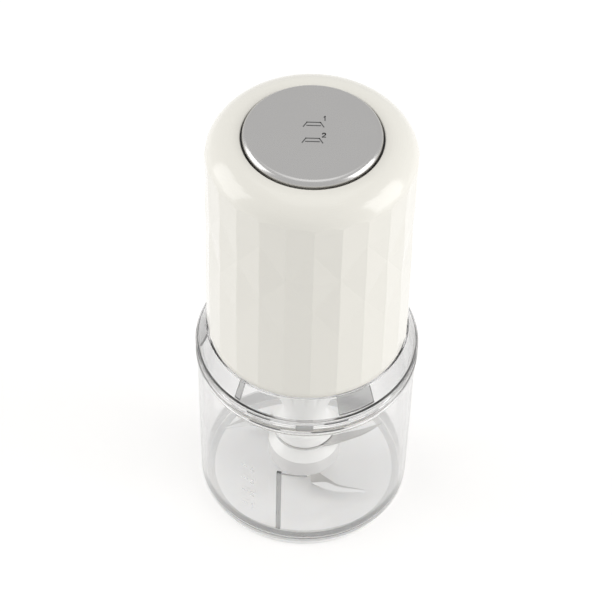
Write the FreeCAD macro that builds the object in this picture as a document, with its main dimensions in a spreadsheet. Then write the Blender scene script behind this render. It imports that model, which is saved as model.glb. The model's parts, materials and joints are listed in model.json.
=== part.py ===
import FreeCAD, Part
import Sketcher
import math
import os
import re

# A mini chopper: a clear bowl on a non-slip base, a clear lid, a blade unit on a steel pin,
# and a faceted power unit with a press plate on top. +Z is up, the origin is the middle of
# the underside, and the front faces -Y.

sizes = {
    # non-slip base
    "base_radius": 53.4, "base_floor": 2.0, "base_height": 4.2, "base_chamfer": 1.0,
    # bowl
    "bowl_radius": 55.2, "bowl_rim_radius": 56.3, "bowl_height": 97.4, "bowl_corner": 9.0,
    "bowl_wall": 2.4, "bowl_base": 3.0, "boss_radius": 7.5, "boss_height": 1.5,
    "rib_width": 2.8, "rib_depth": 1.6, "rib_foot": 10.3, "rib_length": 47.9, "rib_angle": -103.4,
    "mark_depth": 0.7, "mark_height": 0.7, "mark_span": 15.5,
    # centre pin
    "pin_radius": 3.5, "pin_seat": 1.0, "pin_length": 60.0, "pin_chamfer": 1.0,
    # lid
    "lid_radius": 57.2, "lid_height": 19.9, "band_height": 7.6, "collar_radius": 56.3,
    "collar_top_radius": 51.6, "lid_wall": 2.2, "lid_flange": 2.4, "skirt_depth": 6.0,
    "skirt_wall": 2.2, "skirt_gap": 0.8, "groove_drop": 1.6, "groove_height": 2.4,
    "groove_depth": 1.0, "cup_gap": 0.5,
    "tab_width": 9.5, "tab_height": 4.0, "tab_rise": 1.8, "tab_reach": 0.9,
    "ramp_depth": 2.4, "ramp_height": 7.6, "ramp_drop": 3.4, "ramp_span": 24.0, "ramp_angle": -63.0,
    # hub of the blade unit
    "hub_radius": 15.0, "hub_headroom": 13.3, "skirt_radius": 19.0, "hub_skirt_low": 10.0,
    "hub_skirt_height": 10.5, "hub_core": 12.0, "hub_neck": 8.5, "shoulder_radius": 14.5,
    "shoulder_rise": 4.5, "flange_radius": 16.4, "flange_height": 9.0, "waist_radius": 10.5,
    "waist_rise": 10.0, "waist_bend": 32.0, "flare_rise": 20.0, "flute_count": 16,
    "flute_radius": 0.9, "flute_sink": 0.6, "bush_wall": 2.0, "bush_length": 46.0,
    "pin_headroom": 1.0, "socket_depth": 8.0, "socket_wall": 1.6,
    # blades
    "blade_thickness": 1.2, "low_blade_rise": 1.5, "high_blade_rise": 28.4,
    "blade_ring": 11.0, "tip_reach": 33.0, "tip_back": 22.9, "tip_width": 1.4,
    "belly_reach": 15.0, "belly_back": 22.1, "crook_reach": 18.7, "crook_back": 18.4,
    "root_reach": 6.6, "root_back": 6.9, "heel_reach": 4.7, "heel_back": 17.8, "heel_lead": 1.1,
    "upper_reach": 42.0, "upper_lead": 3.5, "upper_mid": 29.0, "upper_sag": 5.9,
    "upper_width": 7.0, "upper_ring": 14.0, "upper_root": 12.5,
    # power unit casing
    "shell_radius": 51.2, "shell_height": 129.7, "shell_wall": 2.6, "shoulder_bend": 15.0,
    "facet_count": 24, "facet_dent": 0.55, "facet_margin": 0.4, "facet_start": 43.0,
    "facet_row": 19.5, "facet_rows": 4, "facet_turn": 2.5,
    "mouth_radius": 34.3, "ledge_depth": 6.2, "ledge_rise": 3.5, "ledge_height": 3.0, "post_radius": 4.8,
    "post_circle": 44.0, "post_height": 14.0, "post_count": 3,
    # base cover
    "cover_radius": 50.3, "cover_rim": 3.0, "cover_step": 2.0, "cover_floor": 3.0,
    "cup_radius": 23.5, "cup_wall": 2.4, "cup_depth": 9.0, "vent_radius": 1.8,
    "vent_circle": 39.3, "vent_count": 24,
    # fasteners
    "screw_radius": 1.5, "screw_head": 2.9, "screw_head_height": 1.8, "screw_length": 11.0,
    "screw_sink": 0.5, "tap_room": 0.2,
    "bolt_radius": 1.6, "bolt_circle": 29.4, "bolt_count": 4, "bolt_depth": 8.0,
    "flange_screw_circle": 31.2, "flange_screw_length": 5.0, "deck_screw_length": 5.0,
    # gearbox
    "housing_radius": 27.0, "housing_height": 19.0, "housing_floor": 3.0, "flange_reach": 35.0,
    "nose_radius": 11.0, "nose_depth": 9.0, "gear_ledge": 7.5, "ledge_wall": 2.0,
    "output_radius": 4.0, "output_bush_wall": 2.5, "gear_module": 0.8, "sun_teeth": 12,
    "planet_teeth": 18, "planet_count": 3, "tooth_slope": 25.0, "tooth_top": 0.8,
    "tooth_root": 1.05, "tooth_play": 0.08, "ring_gear_rim": 2.2, "carrier_rim": 3.0,
    "carrier_height": 3.0, "carrier_gap": 0.4, "planet_height": 9.8, "planet_gap": 0.2,
    "planet_pin": 2.0, "planet_pin_rise": 0.8, "sun_height": 10.0,
    # drive coupling
    "coupling_radius": 8.0, "coupling_height": 11.0, "coupling_drop": 7.0, "coupling_gap": 0.35,
    "coupling_sides": 6, "coupling_cap": 2.0,
    # motor
    "bracket_height": 3.0, "shaft_radius": 2.5, "bearing_radius": 8.0, "bearing_height": 5.0,
    "bearing_wall": 2.4, "bearing_sink": 1.0, "pillar_radius": 2.8, "fan_rise": 9.0,
    "fan_height": 7.0, "fan_radius": 23.5, "fan_disc": 1.4, "fan_hub": 7.0, "fan_blades": 9,
    "fan_blade": 1.4, "fan_edge": 0.5, "core_rise": 21.0, "core_height": 28.0, "stator_radius": 32.4,
    "stator_bore": 17.2, "air_gap": 0.6, "coil_inner": 20.0, "coil_outer": 26.2,
    "coil_span": 116.0, "pole_span": 66.0, "coil_overhang": 4.0, "coil_gap": 0.25,
    "slot_count": 12, "slot_radius": 1.5, "slot_circle": 14.6, "winding_radius": 15.4,
    "winding_height": 5.0, "winding_core": 6.0, "commutator_radius": 9.0,
    "commutator_rise": 7.0, "commutator_height": 10.0, "frame_rise": 19.0, "frame_plate": 3.0,
    "frame_wall": 1.8, "frame_window": 26.0, "frame_window_height": 11.0,
    "holder_width": 8.4, "holder_height": 9.0, "holder_wall": 1.2, "holder_gap": 3.0,
    "brush_length": 12.0, "brush_gap": 0.3, "brush_play": 0.1, "shaft_top": 1.0, "shaft_gap": 0.9,
    # switch deck, board and button
    "deck_drop": 26.0, "deck_plate": 3.0, "deck_bore": 4.0, "guide_circle": 22.0,
    "guide_count": 3, "guide_pin": 2.2, "guide_wall": 1.2, "guide_rise": 11.0,
    "guide_reach": 14.0, "button_rise": 3.0, "button_gap": 0.8, "button_edge": 3.0,
    "button_wall": 1.2, "carrier_flange": 1.2,
    "carrier_lip": 1.8, "button_travel": 4.0, "spring_radius": 7.0, "spring_wire": 0.6,
    "spring_turns": 6, "spring_tail": 0.05, "seat_collar": 2.5, "board_length": 24.0,
    "board_width": 29.0, "board_inset": 14.0, "board_height": 1.6, "board_rise": 3.0,
    "board_post": 2.0, "board_edge": 0.5, "switch_length": 12.8, "switch_width": 6.0, "switch_height": 5.4,
    "switch_spread": 8.0, "pusher_inset": 0.6, "capacitor_length": 9.0, "capacitor_width": 15.0,
    "capacitor_height": 11.0, "capacitor_place": 26.0, "capacitor_offset": 14.3,
    # cord gland at the back
    "gland_radius": 4.2, "gland_flange": 6.2, "gland_lip": 1.4, "gland_reach": 4.0,
    "gland_rise": 17.0, "gland_wall": 1.8, "gland_seat": 0.6, "gland_stand": 0.1,
    "gland_taper": 0.4, "gland_bevel": 1.0,
    # clearances: between moving pieces, in a running bore, in a seat, at the seal and round the deck
    "slide_gap": 0.3, "running_gap": 0.06, "seat_gap": 0.04, "seal_gap": 0.4, "deck_gap": 0.12,
    # how far a cut or a joined shape runs past a face
    "overlap": 1.0,
}

# places worked out from the sizes, written with the same words
places = {
    "rim": "base_floor + bowl_height",
    "lid_top": "rim + lid_height",
    "bowl_floor": "base_floor + bowl_base",
    "hub_foot": "bowl_floor + boss_height",
    "low_blade": "hub_foot + low_blade_rise",
    "skirt_foot": "hub_foot + hub_skirt_low",
    "skirt_head": "skirt_foot + hub_skirt_height",
    "high_blade": "hub_foot + high_blade_rise",
    "flange_foot": "high_blade + blade_thickness",
    "flange_head": "flange_foot + flange_height",
    "waist": "flange_head + waist_rise",
    "flare": "waist + flare_rise",
    "hub_top": "lid_top - hub_headroom",
    "bowl_bore": "bowl_rim_radius - bowl_wall",
    "skirt_outer": "bowl_bore - skirt_gap",
    "shell_foot": "lid_top + cover_rim",
    "cover_top": "shell_foot + cover_step",
    "shell_top": "shell_foot + shell_height",
    "shell_bore": "shell_radius - shell_wall",
    "button_top": "shell_top + button_rise",
    "deck_screw_circle": "shell_bore - screw_head - slide_gap",
    "gland_shoulder": "shell_bore - gland_seat",
    "gear_top": "cover_top + housing_height",
    "carrier_foot": "cover_top + housing_floor + carrier_gap",
    "carrier_top": "carrier_foot + carrier_height",
    "planet_foot": "carrier_top + planet_gap",
    "ring_gear_foot": "cover_top + gear_ledge",
    "sun_pitch": "gear_module * sun_teeth / 2",
    "planet_pitch": "gear_module * planet_teeth / 2",
    "ring_pitch": "sun_pitch + 2 * planet_pitch",
    "ring_gear_radius": "ring_pitch + tooth_root * gear_module + ring_gear_rim",
    "planet_circle": "sun_pitch + planet_pitch",
    "carrier_radius": "planet_circle + planet_pin + carrier_rim",
    "bracket_top": "gear_top + bracket_height",
    "core_foot": "gear_top + core_rise",
    "core_top": "core_foot + core_height",
    "frame_foot": "core_top + frame_rise",
    "frame_top": "frame_foot + frame_plate",
    "coupling_top": "lid_top - coupling_drop",
    "coupling_foot": "coupling_top - coupling_height",
    "deck_foot": "shell_top - deck_drop",
    "deck_top": "deck_foot + deck_plate",
    "button_radius": "mouth_radius - button_gap",
    "lip_top": "shell_top - shell_wall - slide_gap",
    "carrier_low": "lip_top - carrier_lip",
    "board_foot": "deck_top + board_rise",
    "board_top": "board_foot + board_height",
    "switch_top": "board_top + switch_height",
    "commutator_middle": "core_top + commutator_rise + commutator_height / 2",
}

doc = FreeCAD.newDocument("mini_chopper")
sheet = doc.addObject("Spreadsheet::Sheet", "Sizes")
for row, (word, number) in enumerate(sizes.items(), 1):
    sheet.set(f"A{row}", word)
    sheet.set(f"B{row}", str(number))
    sheet.setAlias(f"B{row}", word)
doc.recompute()

finished = {}       # node name -> the document object whose shape is written


def rule(text):
    """Spell a rule out in the sheet's own cells."""
    def spell(match):
        word = match.group(0)
        if word in places:
            return f"({rule(places[word])})"
        return f"Sizes.{word}" if word in sizes else word
    return re.sub(r"[a-z][a-z_]*", spell, str(text))


def value(text):
    """The number that a rule gives now."""
    result = sheet.evalExpression(rule(text))
    return float(getattr(result, "Value", result))


def bind(thing, **rules):
    """Tie properties of an object to rules."""
    for name, text in rules.items():
        thing.setExpression(name, rule(text))
    return thing


def place(thing, x="0", y="0", z="0", axis=(0, 0, 1), angle=0.0):
    """Put an object at a place that follows the rules."""
    thing.Placement = FreeCAD.Placement(FreeCAD.Vector(0, 0, 0),
                                        FreeCAD.Rotation(FreeCAD.Vector(*axis), angle))
    for letter, text in (("x", x), ("y", y), ("z", z)):
        thing.setExpression(f"Placement.Base.{letter}", rule(text))
    return thing


def finish(name, thing):
    """Name an object as a finished piece."""
    thing.Label = name
    finished[name] = thing
    return thing


def new_sketch(body, name, role, height="0", turn="0"):
    """Attach an empty sketch to one of the body's own origin planes."""
    plane = next(item for item in body.Origin.OriginFeatures if item.Role == role)
    sketch = body.newObject("Sketcher::SketchObject", name)
    sketch.AttachmentSupport = [(plane, "")]
    sketch.MapMode = "FlatFace"
    if turn != "0":
        sketch.AttachmentOffset = FreeCAD.Placement(
            FreeCAD.Vector(0, 0, 0), FreeCAD.Rotation(FreeCAD.Vector(0, 1, 0), value(turn)))
        sketch.setExpression("AttachmentOffset.Rotation.Angle", rule(turn))
    if height != "0":
        sketch.setExpression("AttachmentOffset.Base.z", rule(height))
    return sketch


def fix_point(sketch, edge, end, x, y):
    """Hold one point of a sketch at the place that two rules give."""
    for kind, text, axis in (("DistanceX", x, -2), ("DistanceY", y, -1)):
        if text == "0":
            sketch.addConstraint(Sketcher.Constraint("PointOnObject", edge, end, axis))
        else:
            held = Sketcher.Constraint(kind, -1, 1, edge, end, value(text))
            sketch.setExpression(f"Constraints[{sketch.addConstraint(held)}]", rule(text))


def arc_between(first, last, radius, side):
    """An arc of this radius whose centre is left (1) or right (-1) of the way along it."""
    chord = last - first
    sag = math.sqrt(max(radius ** 2 - (chord.Length / 2) ** 2, 0))
    centre = (first + last) * 0.5 + FreeCAD.Vector(-chord.y, chord.x, 0).normalize() * sag * side
    circle = Part.Circle(centre, FreeCAD.Vector(0, 0, 1), radius)
    begin, finish_at = (first, last) if side > 0 else (last, first)
    return Part.ArcOfCircle(circle, math.atan2(begin.y - centre.y, begin.x - centre.x),
                            math.atan2(finish_at.y - centre.y, finish_at.x - centre.x))


def outline(sketch, points):
    """Draw a closed outline. A point is (x, y), or (x, y, radius, side) where an arc follows."""
    corners = [FreeCAD.Vector(value(point[0]), value(point[1]), 0) for point in points]
    count = len(points)
    for index, point in enumerate(points):
        after = corners[(index + 1) % count]
        if len(point) > 2:
            sketch.addGeometry(arc_between(corners[index], after, value(point[2]), point[3]), False)
        else:
            sketch.addGeometry(Part.LineSegment(corners[index], after), False)
    starts = [2 if len(point) > 2 and point[3] < 0 else 1 for point in points]
    for index in range(count):
        following = (index + 1) % count
        joined = Sketcher.Constraint("Coincident", index, 3 - starts[index], following, starts[following])
        sketch.addConstraint(joined)
    for index, point in enumerate(points):
        fix_point(sketch, index, starts[index], point[0], point[1])
        if len(point) > 2:
            bend = sketch.addConstraint(Sketcher.Constraint("Radius", index, value(point[2])))
            sketch.setExpression(f"Constraints[{bend}]", rule(point[2]))
    return sketch


def circles(sketch, *rings):
    """Draw circles, each (x, y, radius)."""
    for x, y, radius in rings:
        centre = FreeCAD.Vector(value(x), value(y), 0)
        index = sketch.addGeometry(Part.Circle(centre, FreeCAD.Vector(0, 0, 1), value(radius)), False)
        fix_point(sketch, index, 3, x, y)
        size = sketch.addConstraint(Sketcher.Constraint("Radius", index, value(radius)))
        sketch.setExpression(f"Constraints[{size}]", rule(radius))
    return sketch


def rectangle(low_x, low_y, high_x, high_y):
    """The four corners of a rectangle."""
    return [(low_x, low_y), (high_x, low_y), (high_x, high_y), (low_x, high_y)]


def new_body(name):
    """An empty body."""
    body = doc.addObject("PartDesign::Body", name)
    body.Label = name
    return body


def turn_about_axis(body, name, points, angle="360", turn="0", cut=False):
    """Revolve an outline about the upright axis, or cut it out of the body."""
    sketch = outline(new_sketch(body, f"{name}_outline", "XZ_Plane", turn=turn), points)
    kind = "PartDesign::Groove" if cut else "PartDesign::Revolution"
    feature = body.newObject(kind, name)
    feature.Profile = sketch
    feature.ReferenceAxis = (sketch, ["V_Axis"])
    feature.Midplane = angle != "360"
    feature.setExpression("Angle", rule(angle))
    doc.recompute()
    return feature


def spread(width, radius):
    """The angle that a width takes up at a radius."""
    return f"{width} / ({radius}) * 180 / pi"


def turned(name, points, angle="360", turn="0"):
    """A body that is one outline turned about the upright axis."""
    body = new_body(name)
    turn_about_axis(body, f"{name}_turning", points, angle, turn)
    return body


def pad(body, name, height, length, draw, *shapes):
    """Raise a sketch on the flat plane at this height."""
    sketch = draw(new_sketch(body, f"{name}_sketch", "XY_Plane", height=height), *shapes)
    feature = body.newObject("PartDesign::Pad", name)
    feature.Profile = sketch
    feature.setExpression("Length", rule(length))
    doc.recompute()
    return feature


def pocket(body, name, height, length, draw, *shapes):
    """Cut a sketch downwards from this height."""
    sketch = draw(new_sketch(body, f"{name}_sketch", "XY_Plane", height=height), *shapes)
    feature = body.newObject("PartDesign::Pocket", name)
    feature.Profile = sketch
    feature.setExpression("Length", rule(length))
    before = body.Shape.Volume
    doc.recompute()
    if body.Shape.Volume >= before:
        raise RuntimeError(f"{name} cuts nothing")
    return feature


def around(body, feature, count):
    """Repeat a feature evenly about the upright axis."""
    pattern = body.newObject("PartDesign::PolarPattern", f"{feature.Name}_ring")
    pattern.Originals = [feature]
    pattern.Axis = (feature.Profile[0], ["N_Axis"])
    pattern.Angle = 360
    pattern.setExpression("Occurrences", rule(count))
    body.Tip = pattern
    doc.recompute()
    return pattern


def disc(name, radius, foot, length, bore=None, x="0", y="0"):
    """A plain round piece, with or without a bore."""
    body = new_body(name)
    rings = [(x, y, radius)] if bore is None else [(x, y, radius), (x, y, bore)]
    pad(body, f"{name}_pad", foot, length, circles, *rings)
    return body


def joined(name, kind, *pieces):
    """A Part boolean of two or more objects."""
    result = doc.addObject(f"Part::{kind}", name)
    if kind in ("Cut", "Common"):
        result.Base, result.Tool = pieces
    elif kind == "Compound":
        result.Links = list(pieces)
    else:
        result.Shapes = list(pieces)
    doc.recompute()
    return result


def non_slip_base():
    """The soft base that the bowl stands in; its inside follows the bowl's round corner."""
    corner = "bowl_corner + slide_gap"
    middle = "bowl_radius - bowl_corner"
    across = f"({middle} + sqrt(({corner})^2 - (base_floor + bowl_corner - base_height)^2))"
    finish("non_slip_base", turned("non_slip_base", [
        ("0", "0"), ("base_radius - base_chamfer", "0"), ("base_radius", "base_chamfer"),
        ("base_radius", "base_height"), (across, "base_height", corner, -1),
        (middle, "base_floor - slide_gap"), (middle, "base_floor"), ("0", "base_floor")]))


def bowl():
    """The clear bowl, with a boss for the pin, an upright rib and a level mark inside."""
    corner_high = "base_floor + bowl_corner"
    inner = "bowl_radius - bowl_wall"
    body = turned("bowl", [
        ("0", "base_floor"), ("bowl_radius - bowl_corner", "base_floor", "bowl_corner", 1),
        ("bowl_radius", corner_high), ("bowl_rim_radius", "rim"), ("bowl_bore", "rim"),
        (inner, corner_high, "bowl_corner - bowl_base", -1),
        (f"{inner} - (bowl_corner - bowl_base)", "bowl_floor"), ("boss_radius", "bowl_floor"),
        ("boss_radius", "hub_foot"), ("pin_radius + seat_gap", "hub_foot"),
        ("pin_radius + seat_gap", "base_floor + pin_seat"), ("0", "base_floor + pin_seat")])
    foot = "base_floor + rib_foot"
    head = "base_floor + rib_foot + rib_length"
    rib = rectangle(f"{inner} - rib_depth", foot, f"{inner} + bowl_wall / 2", head)
    turn_about_axis(body, "bowl_rib", rib, spread("rib_width", "bowl_radius"), "rib_angle")
    mark = rectangle(f"{inner} - mark_depth", f"{head} - mark_height", f"{inner} + bowl_wall / 2", head)
    turn_about_axis(body, "bowl_mark", mark, "mark_span", "rib_angle + mark_span / 2")
    finish("bowl", body)


def bowl_pin():
    """The steel pin that the blade unit turns on."""
    foot = "base_floor + pin_seat"
    head = "base_floor + pin_seat + pin_length"
    finish("bowl_pin", turned("bowl_pin", [
        ("0", foot), ("pin_radius", foot), ("pin_radius", f"{head} - pin_chamfer"),
        ("pin_radius - pin_chamfer", head), ("0", head)]))


def bowl_lid():
    """The clear lid: a band on the bowl's rim, a sloping collar, a flat top and a skirt."""
    groove_top = "rim - groove_drop"
    groove_foot = "rim - groove_drop - groove_height"
    skirt_inner = "skirt_outer - skirt_wall"
    band_top = "rim + band_height"
    roof_hole = "cup_radius + cup_gap"
    body = turned("bowl_lid", [
        ("lid_radius", "rim"), ("lid_radius", band_top), ("collar_radius", band_top),
        ("collar_top_radius", "lid_top"), (roof_hole, "lid_top"), (roof_hole, "lid_top - lid_wall"),
        ("collar_top_radius - lid_wall", "lid_top - lid_wall"), ("collar_radius - lid_wall", band_top),
        ("collar_radius - lid_wall", "rim + lid_flange"), (skirt_inner, "rim + lid_flange"),
        (skirt_inner, "rim - skirt_depth"), ("skirt_outer", "rim - skirt_depth"),
        ("skirt_outer", groove_foot), ("skirt_outer - groove_depth", groove_foot),
        ("skirt_outer - groove_depth", groove_top), ("skirt_outer", groove_top), ("skirt_outer", "rim")])
    tab = rectangle("lid_radius - lid_wall / 2", "rim + tab_rise",
                    "lid_radius + tab_reach", "rim + tab_rise + tab_height")
    turn_about_axis(body, "lid_tab", tab, spread("tab_width", "lid_radius"), "-90")
    high = "lid_top - ramp_drop"
    low = "lid_top - ramp_drop - ramp_height"
    lean = "(collar_radius - collar_top_radius) / (lid_height - band_height - lid_wall)"
    inside_high = f"(collar_radius - lid_wall - ({high} - rim - band_height) * {lean})"
    inside_low = f"(collar_radius - lid_wall - ({low} - rim - band_height) * {lean})"
    ramp = [(f"{inside_low} - ramp_depth", low), (f"{inside_low} + lid_wall / 3", low),
            (f"{inside_high} + lid_wall / 3", high), (f"{inside_high} - ramp_depth", high)]
    for index, extra in enumerate(("0", "120", "240")):
        turn_about_axis(body, f"lid_ramp_{index + 1}", ramp, "ramp_span", f"ramp_angle + {extra}")
    finish("bowl_lid", body)


def lid_seal():
    """The soft ring in the groove of the lid's skirt."""
    foot = "rim - groove_drop - groove_height"
    head = "rim - groove_drop"
    inner = "skirt_outer - groove_depth + seat_gap"
    outer = "bowl_bore - seal_gap"
    finish("lid_seal", turned("lid_seal", [
        (inner, foot), (f"{outer} - groove_depth / 2", foot), (outer, f"{foot} + groove_height / 2"),
        (f"{outer} - groove_depth / 2", head), (inner, head)]))


def blade_wing(body, name, foot, points):
    """One wing of a blade, and its copy half a turn on."""
    wing = pad(body, name, foot, "blade_thickness", outline, points)
    around(body, wing, "2")


def lower_blade():
    """The low sickle blade: a ring in the hub's groove with two curved wings."""
    body = disc("lower_blade", "blade_ring", "low_blade", "blade_thickness", "hub_neck + seat_gap")
    blade_wing(body, "lower_wing", "low_blade", [
        ("heel_reach - heel_lead", "-(hub_neck + blade_ring) / 2"),
        ("heel_reach", "-heel_back", "tip_reach", 1),
        ("belly_reach", "-belly_back", "tip_reach * 2", 1), ("tip_reach", "-tip_back"),
        ("tip_reach", "-tip_back + tip_width", "tip_reach * 2", -1),
        ("crook_reach", "-crook_back", "tip_reach", -1), ("root_reach", "-root_back")])
    finish("lower_blade", body)


def upper_blade():
    """The high blade, swept the other way and a little shorter in the arm."""
    body = disc("upper_blade", "upper_ring", "high_blade", "blade_thickness", "hub_neck + seat_gap")
    blade_wing(body, "upper_wing", "high_blade", [
        ("0", "-upper_root"), ("upper_root", "-upper_root", "upper_reach", 1),
        ("upper_mid", "-upper_sag", "upper_reach", 1), ("upper_reach", "upper_lead"),
        ("upper_mid", "-upper_sag + upper_width", "upper_reach", -1), ("upper_root", "0")])
    finish("upper_blade", body)


def blade_hub():
    """The tall hub: necks for the blades, a skirt, a flange, a waist and a fluted column."""
    bore = "pin_radius + running_gap + bush_wall + seat_gap"
    bush_head = "hub_foot + bush_length"
    socket = "coupling_radius + coupling_gap + socket_wall + seat_gap"
    socket_foot = "hub_top - socket_depth - socket_wall"
    pin_head = "base_floor + pin_seat + pin_length + pin_headroom"
    body = turned("blade_hub", [
        (bore, "hub_foot"), ("hub_core", "hub_foot"), ("hub_core", "low_blade"), ("hub_neck", "low_blade"),
        ("hub_neck", "low_blade + blade_thickness"), ("hub_core", "low_blade + blade_thickness"),
        ("hub_core", "skirt_foot"), ("skirt_radius", "skirt_foot"), ("skirt_radius", "skirt_head"),
        ("shoulder_radius", "skirt_head + shoulder_rise"), ("shoulder_radius", "high_blade"),
        ("hub_neck", "high_blade"), ("hub_neck", "flange_foot"), ("flange_radius", "flange_foot"),
        ("flange_radius", "flange_head"), ("waist_radius", "waist", "waist_bend", -1),
        ("hub_radius", "flare"), ("hub_radius", "hub_top"), (socket, "hub_top"), (socket, socket_foot),
        ("0", socket_foot), ("0", pin_head), ("pin_radius + slide_gap", pin_head),
        ("pin_radius + slide_gap", bush_head), (bore, bush_head)])
    flute = pocket(body, "hub_flute", "hub_top", "hub_top - flare", circles,
                   ("hub_radius + flute_radius - flute_sink", "0", "flute_radius"))
    around(body, flute, "flute_count")
    finish("blade_hub", body)


def hub_bush():
    """The bush in the hub that runs on the pin."""
    finish("hub_bush", disc("hub_bush", "pin_radius + running_gap + bush_wall", "hub_foot", "bush_length",
                            "pin_radius + running_gap"))


def prism(name, sides, radius, foot, length):
    """A many-sided bar across its corners."""
    bar = doc.addObject("Part::Prism", name)
    bind(bar, Polygon=sides, Circumradius=radius, Height=length)
    return place(bar, z=foot)


def drive_socket():
    """The six-sided socket in the hub's top that the drive coupling drops into."""
    foot = "hub_top - socket_depth - socket_wall"
    sleeve = disc("socket_sleeve", "coupling_radius + coupling_gap + socket_wall", foot,
                  "socket_depth + socket_wall")
    hole = prism("socket_hole", "coupling_sides", "coupling_radius + coupling_gap",
                 "hub_top - socket_depth", "socket_depth * 2")
    finish("drive_socket", joined("drive_socket", "Cut", sleeve, hole))


def gear_tooth_line(teeth, module, thicken, top, root):
    """The closed wire of a gear's teeth, with flanks as arcs on the involute."""
    pitch = module * teeth / 2
    slope = math.radians(value("tooth_slope"))
    base = pitch * math.cos(slope)
    half = math.pi / (2 * teeth) + thicken / pitch
    pitch_roll = math.tan(slope) - slope

    def flank(radius):
        lean = math.acos(min(base / radius, 1.0))
        return half + pitch_roll - (math.tan(lean) - lean)

    def at(radius, angle):
        return FreeCAD.Vector(radius * math.cos(angle), radius * math.sin(angle), 0)

    low = pitch - root * module
    high = pitch + top * module
    foot = max(low, base)
    edges = []
    for index in range(teeth):
        middle = 2 * math.pi * index / teeth
        after = 2 * math.pi * (index + 1) / teeth
        radii = (foot, (foot + high) / 2, high)
        rising = [at(radius, middle - flank(radius)) for radius in radii]
        falling = [at(radius, middle + flank(radius)) for radius in reversed(radii)]
        root_end = at(low, middle + flank(foot))
        next_root = at(low, after - flank(foot))
        if foot > low:
            edges.append(Part.LineSegment(at(low, middle - flank(foot)), rising[0]).toShape())
        edges.append(Part.Arc(*rising).toShape())
        edges.append(Part.Arc(rising[2], at(high, middle), falling[0]).toShape())
        edges.append(Part.Arc(*falling).toShape())
        if foot > low:
            edges.append(Part.LineSegment(falling[2], root_end).toShape())
        edges.append(Part.Arc(root_end, at(low, (middle + after) / 2), next_root).toShape())
    return Part.Wire(edges)


def toothed_bar(teeth, height, thicken, top, root):
    """A solid bar with gear teeth."""
    wire = gear_tooth_line(teeth, value("gear_module"), thicken, top, root)
    return Part.Face(wire).extrude(FreeCAD.Vector(0, 0, height))


def shaped(name, shape, placement):
    """A piece whose shape is made directly."""
    feature = doc.addObject("Part::Feature", name)
    feature.Shape = shape
    feature.Placement = placement
    return finish(name, feature)


def gears():
    """The sun gear, three planets and the fixed ring gear."""
    sun_teeth = round(value("sun_teeth"))
    planet_teeth = round(value("planet_teeth"))
    ring_teeth = sun_teeth + 2 * planet_teeth
    play = value("tooth_play")
    top = value("tooth_top")
    root = value("tooth_root")
    sun_height = value("sun_height")
    sun = toothed_bar(sun_teeth, sun_height, -play, top, root)
    sun = sun.cut(Part.makeCylinder(value("shaft_radius + seat_gap"), sun_height))
    up = FreeCAD.Vector(0, 0, 1)
    level = FreeCAD.Placement(FreeCAD.Vector(0, 0, value("planet_foot + planet_gap")), FreeCAD.Rotation())
    shaped("sun_gear", sun, level)
    planet_height = value("planet_height")
    planet = toothed_bar(planet_teeth, planet_height, -play, top, root)
    planet = planet.cut(Part.makeCylinder(value("planet_pin + running_gap"), planet_height))
    for index in range(round(value("planet_count"))):
        angle = 360.0 / value("planet_count") * index
        middle = FreeCAD.Rotation(up, angle).multVec(FreeCAD.Vector(value("planet_circle"), 0, 0))
        spin = FreeCAD.Rotation(up, angle + 180 + 180 / planet_teeth)
        middle.z = value("planet_foot")
        shaped(f"planet_gear_{index + 1}", planet, FreeCAD.Placement(middle, spin))
    gear_height = value("gear_top - ring_gear_foot")
    blank = Part.makeCylinder(value("ring_gear_radius"), gear_height)
    hollow = toothed_bar(ring_teeth, gear_height, play, root, top)
    half_tooth = FreeCAD.Rotation(up, 180 / ring_teeth)
    shaped("ring_gear", blank.cut(hollow),
           FreeCAD.Placement(FreeCAD.Vector(0, 0, value("ring_gear_foot")), half_tooth))


def planet_carrier():
    """The plate that carries the planets, its pins, the output shaft and the coupling."""
    plate = disc("carrier_plate", "carrier_radius", "carrier_foot", "carrier_height",
                 "output_radius + seat_gap")
    hole = pocket(plate, "carrier_hole", "carrier_top", "carrier_height", circles,
                  ("planet_circle", "0", "planet_pin + seat_gap"))
    around(plate, hole, "planet_count")
    finish("carrier_plate", plate)
    pins = new_body("planet_pins")
    pins.AllowCompound = True
    pin = pad(pins, "planet_pin_pad", "carrier_foot",
              "carrier_height + planet_gap + planet_height + planet_pin_rise", circles,
              ("planet_circle", "0", "planet_pin"))
    around(pins, pin, "planet_count")
    finish("planet_pins", pins)
    finish("output_shaft", disc("output_shaft", "output_radius", "coupling_foot + coupling_cap",
                                "carrier_top - coupling_foot - coupling_cap"))
    sleeve = prism("coupling_bar", "coupling_sides", "coupling_radius", "coupling_foot", "coupling_height")
    hole = bind(doc.addObject("Part::Cylinder", "coupling_hole"), Radius="output_radius + seat_gap",
                Height="coupling_height")
    place(hole, z="coupling_foot + coupling_cap")
    finish("drive_coupling", joined("drive_coupling", "Cut", sleeve, hole))


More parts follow.
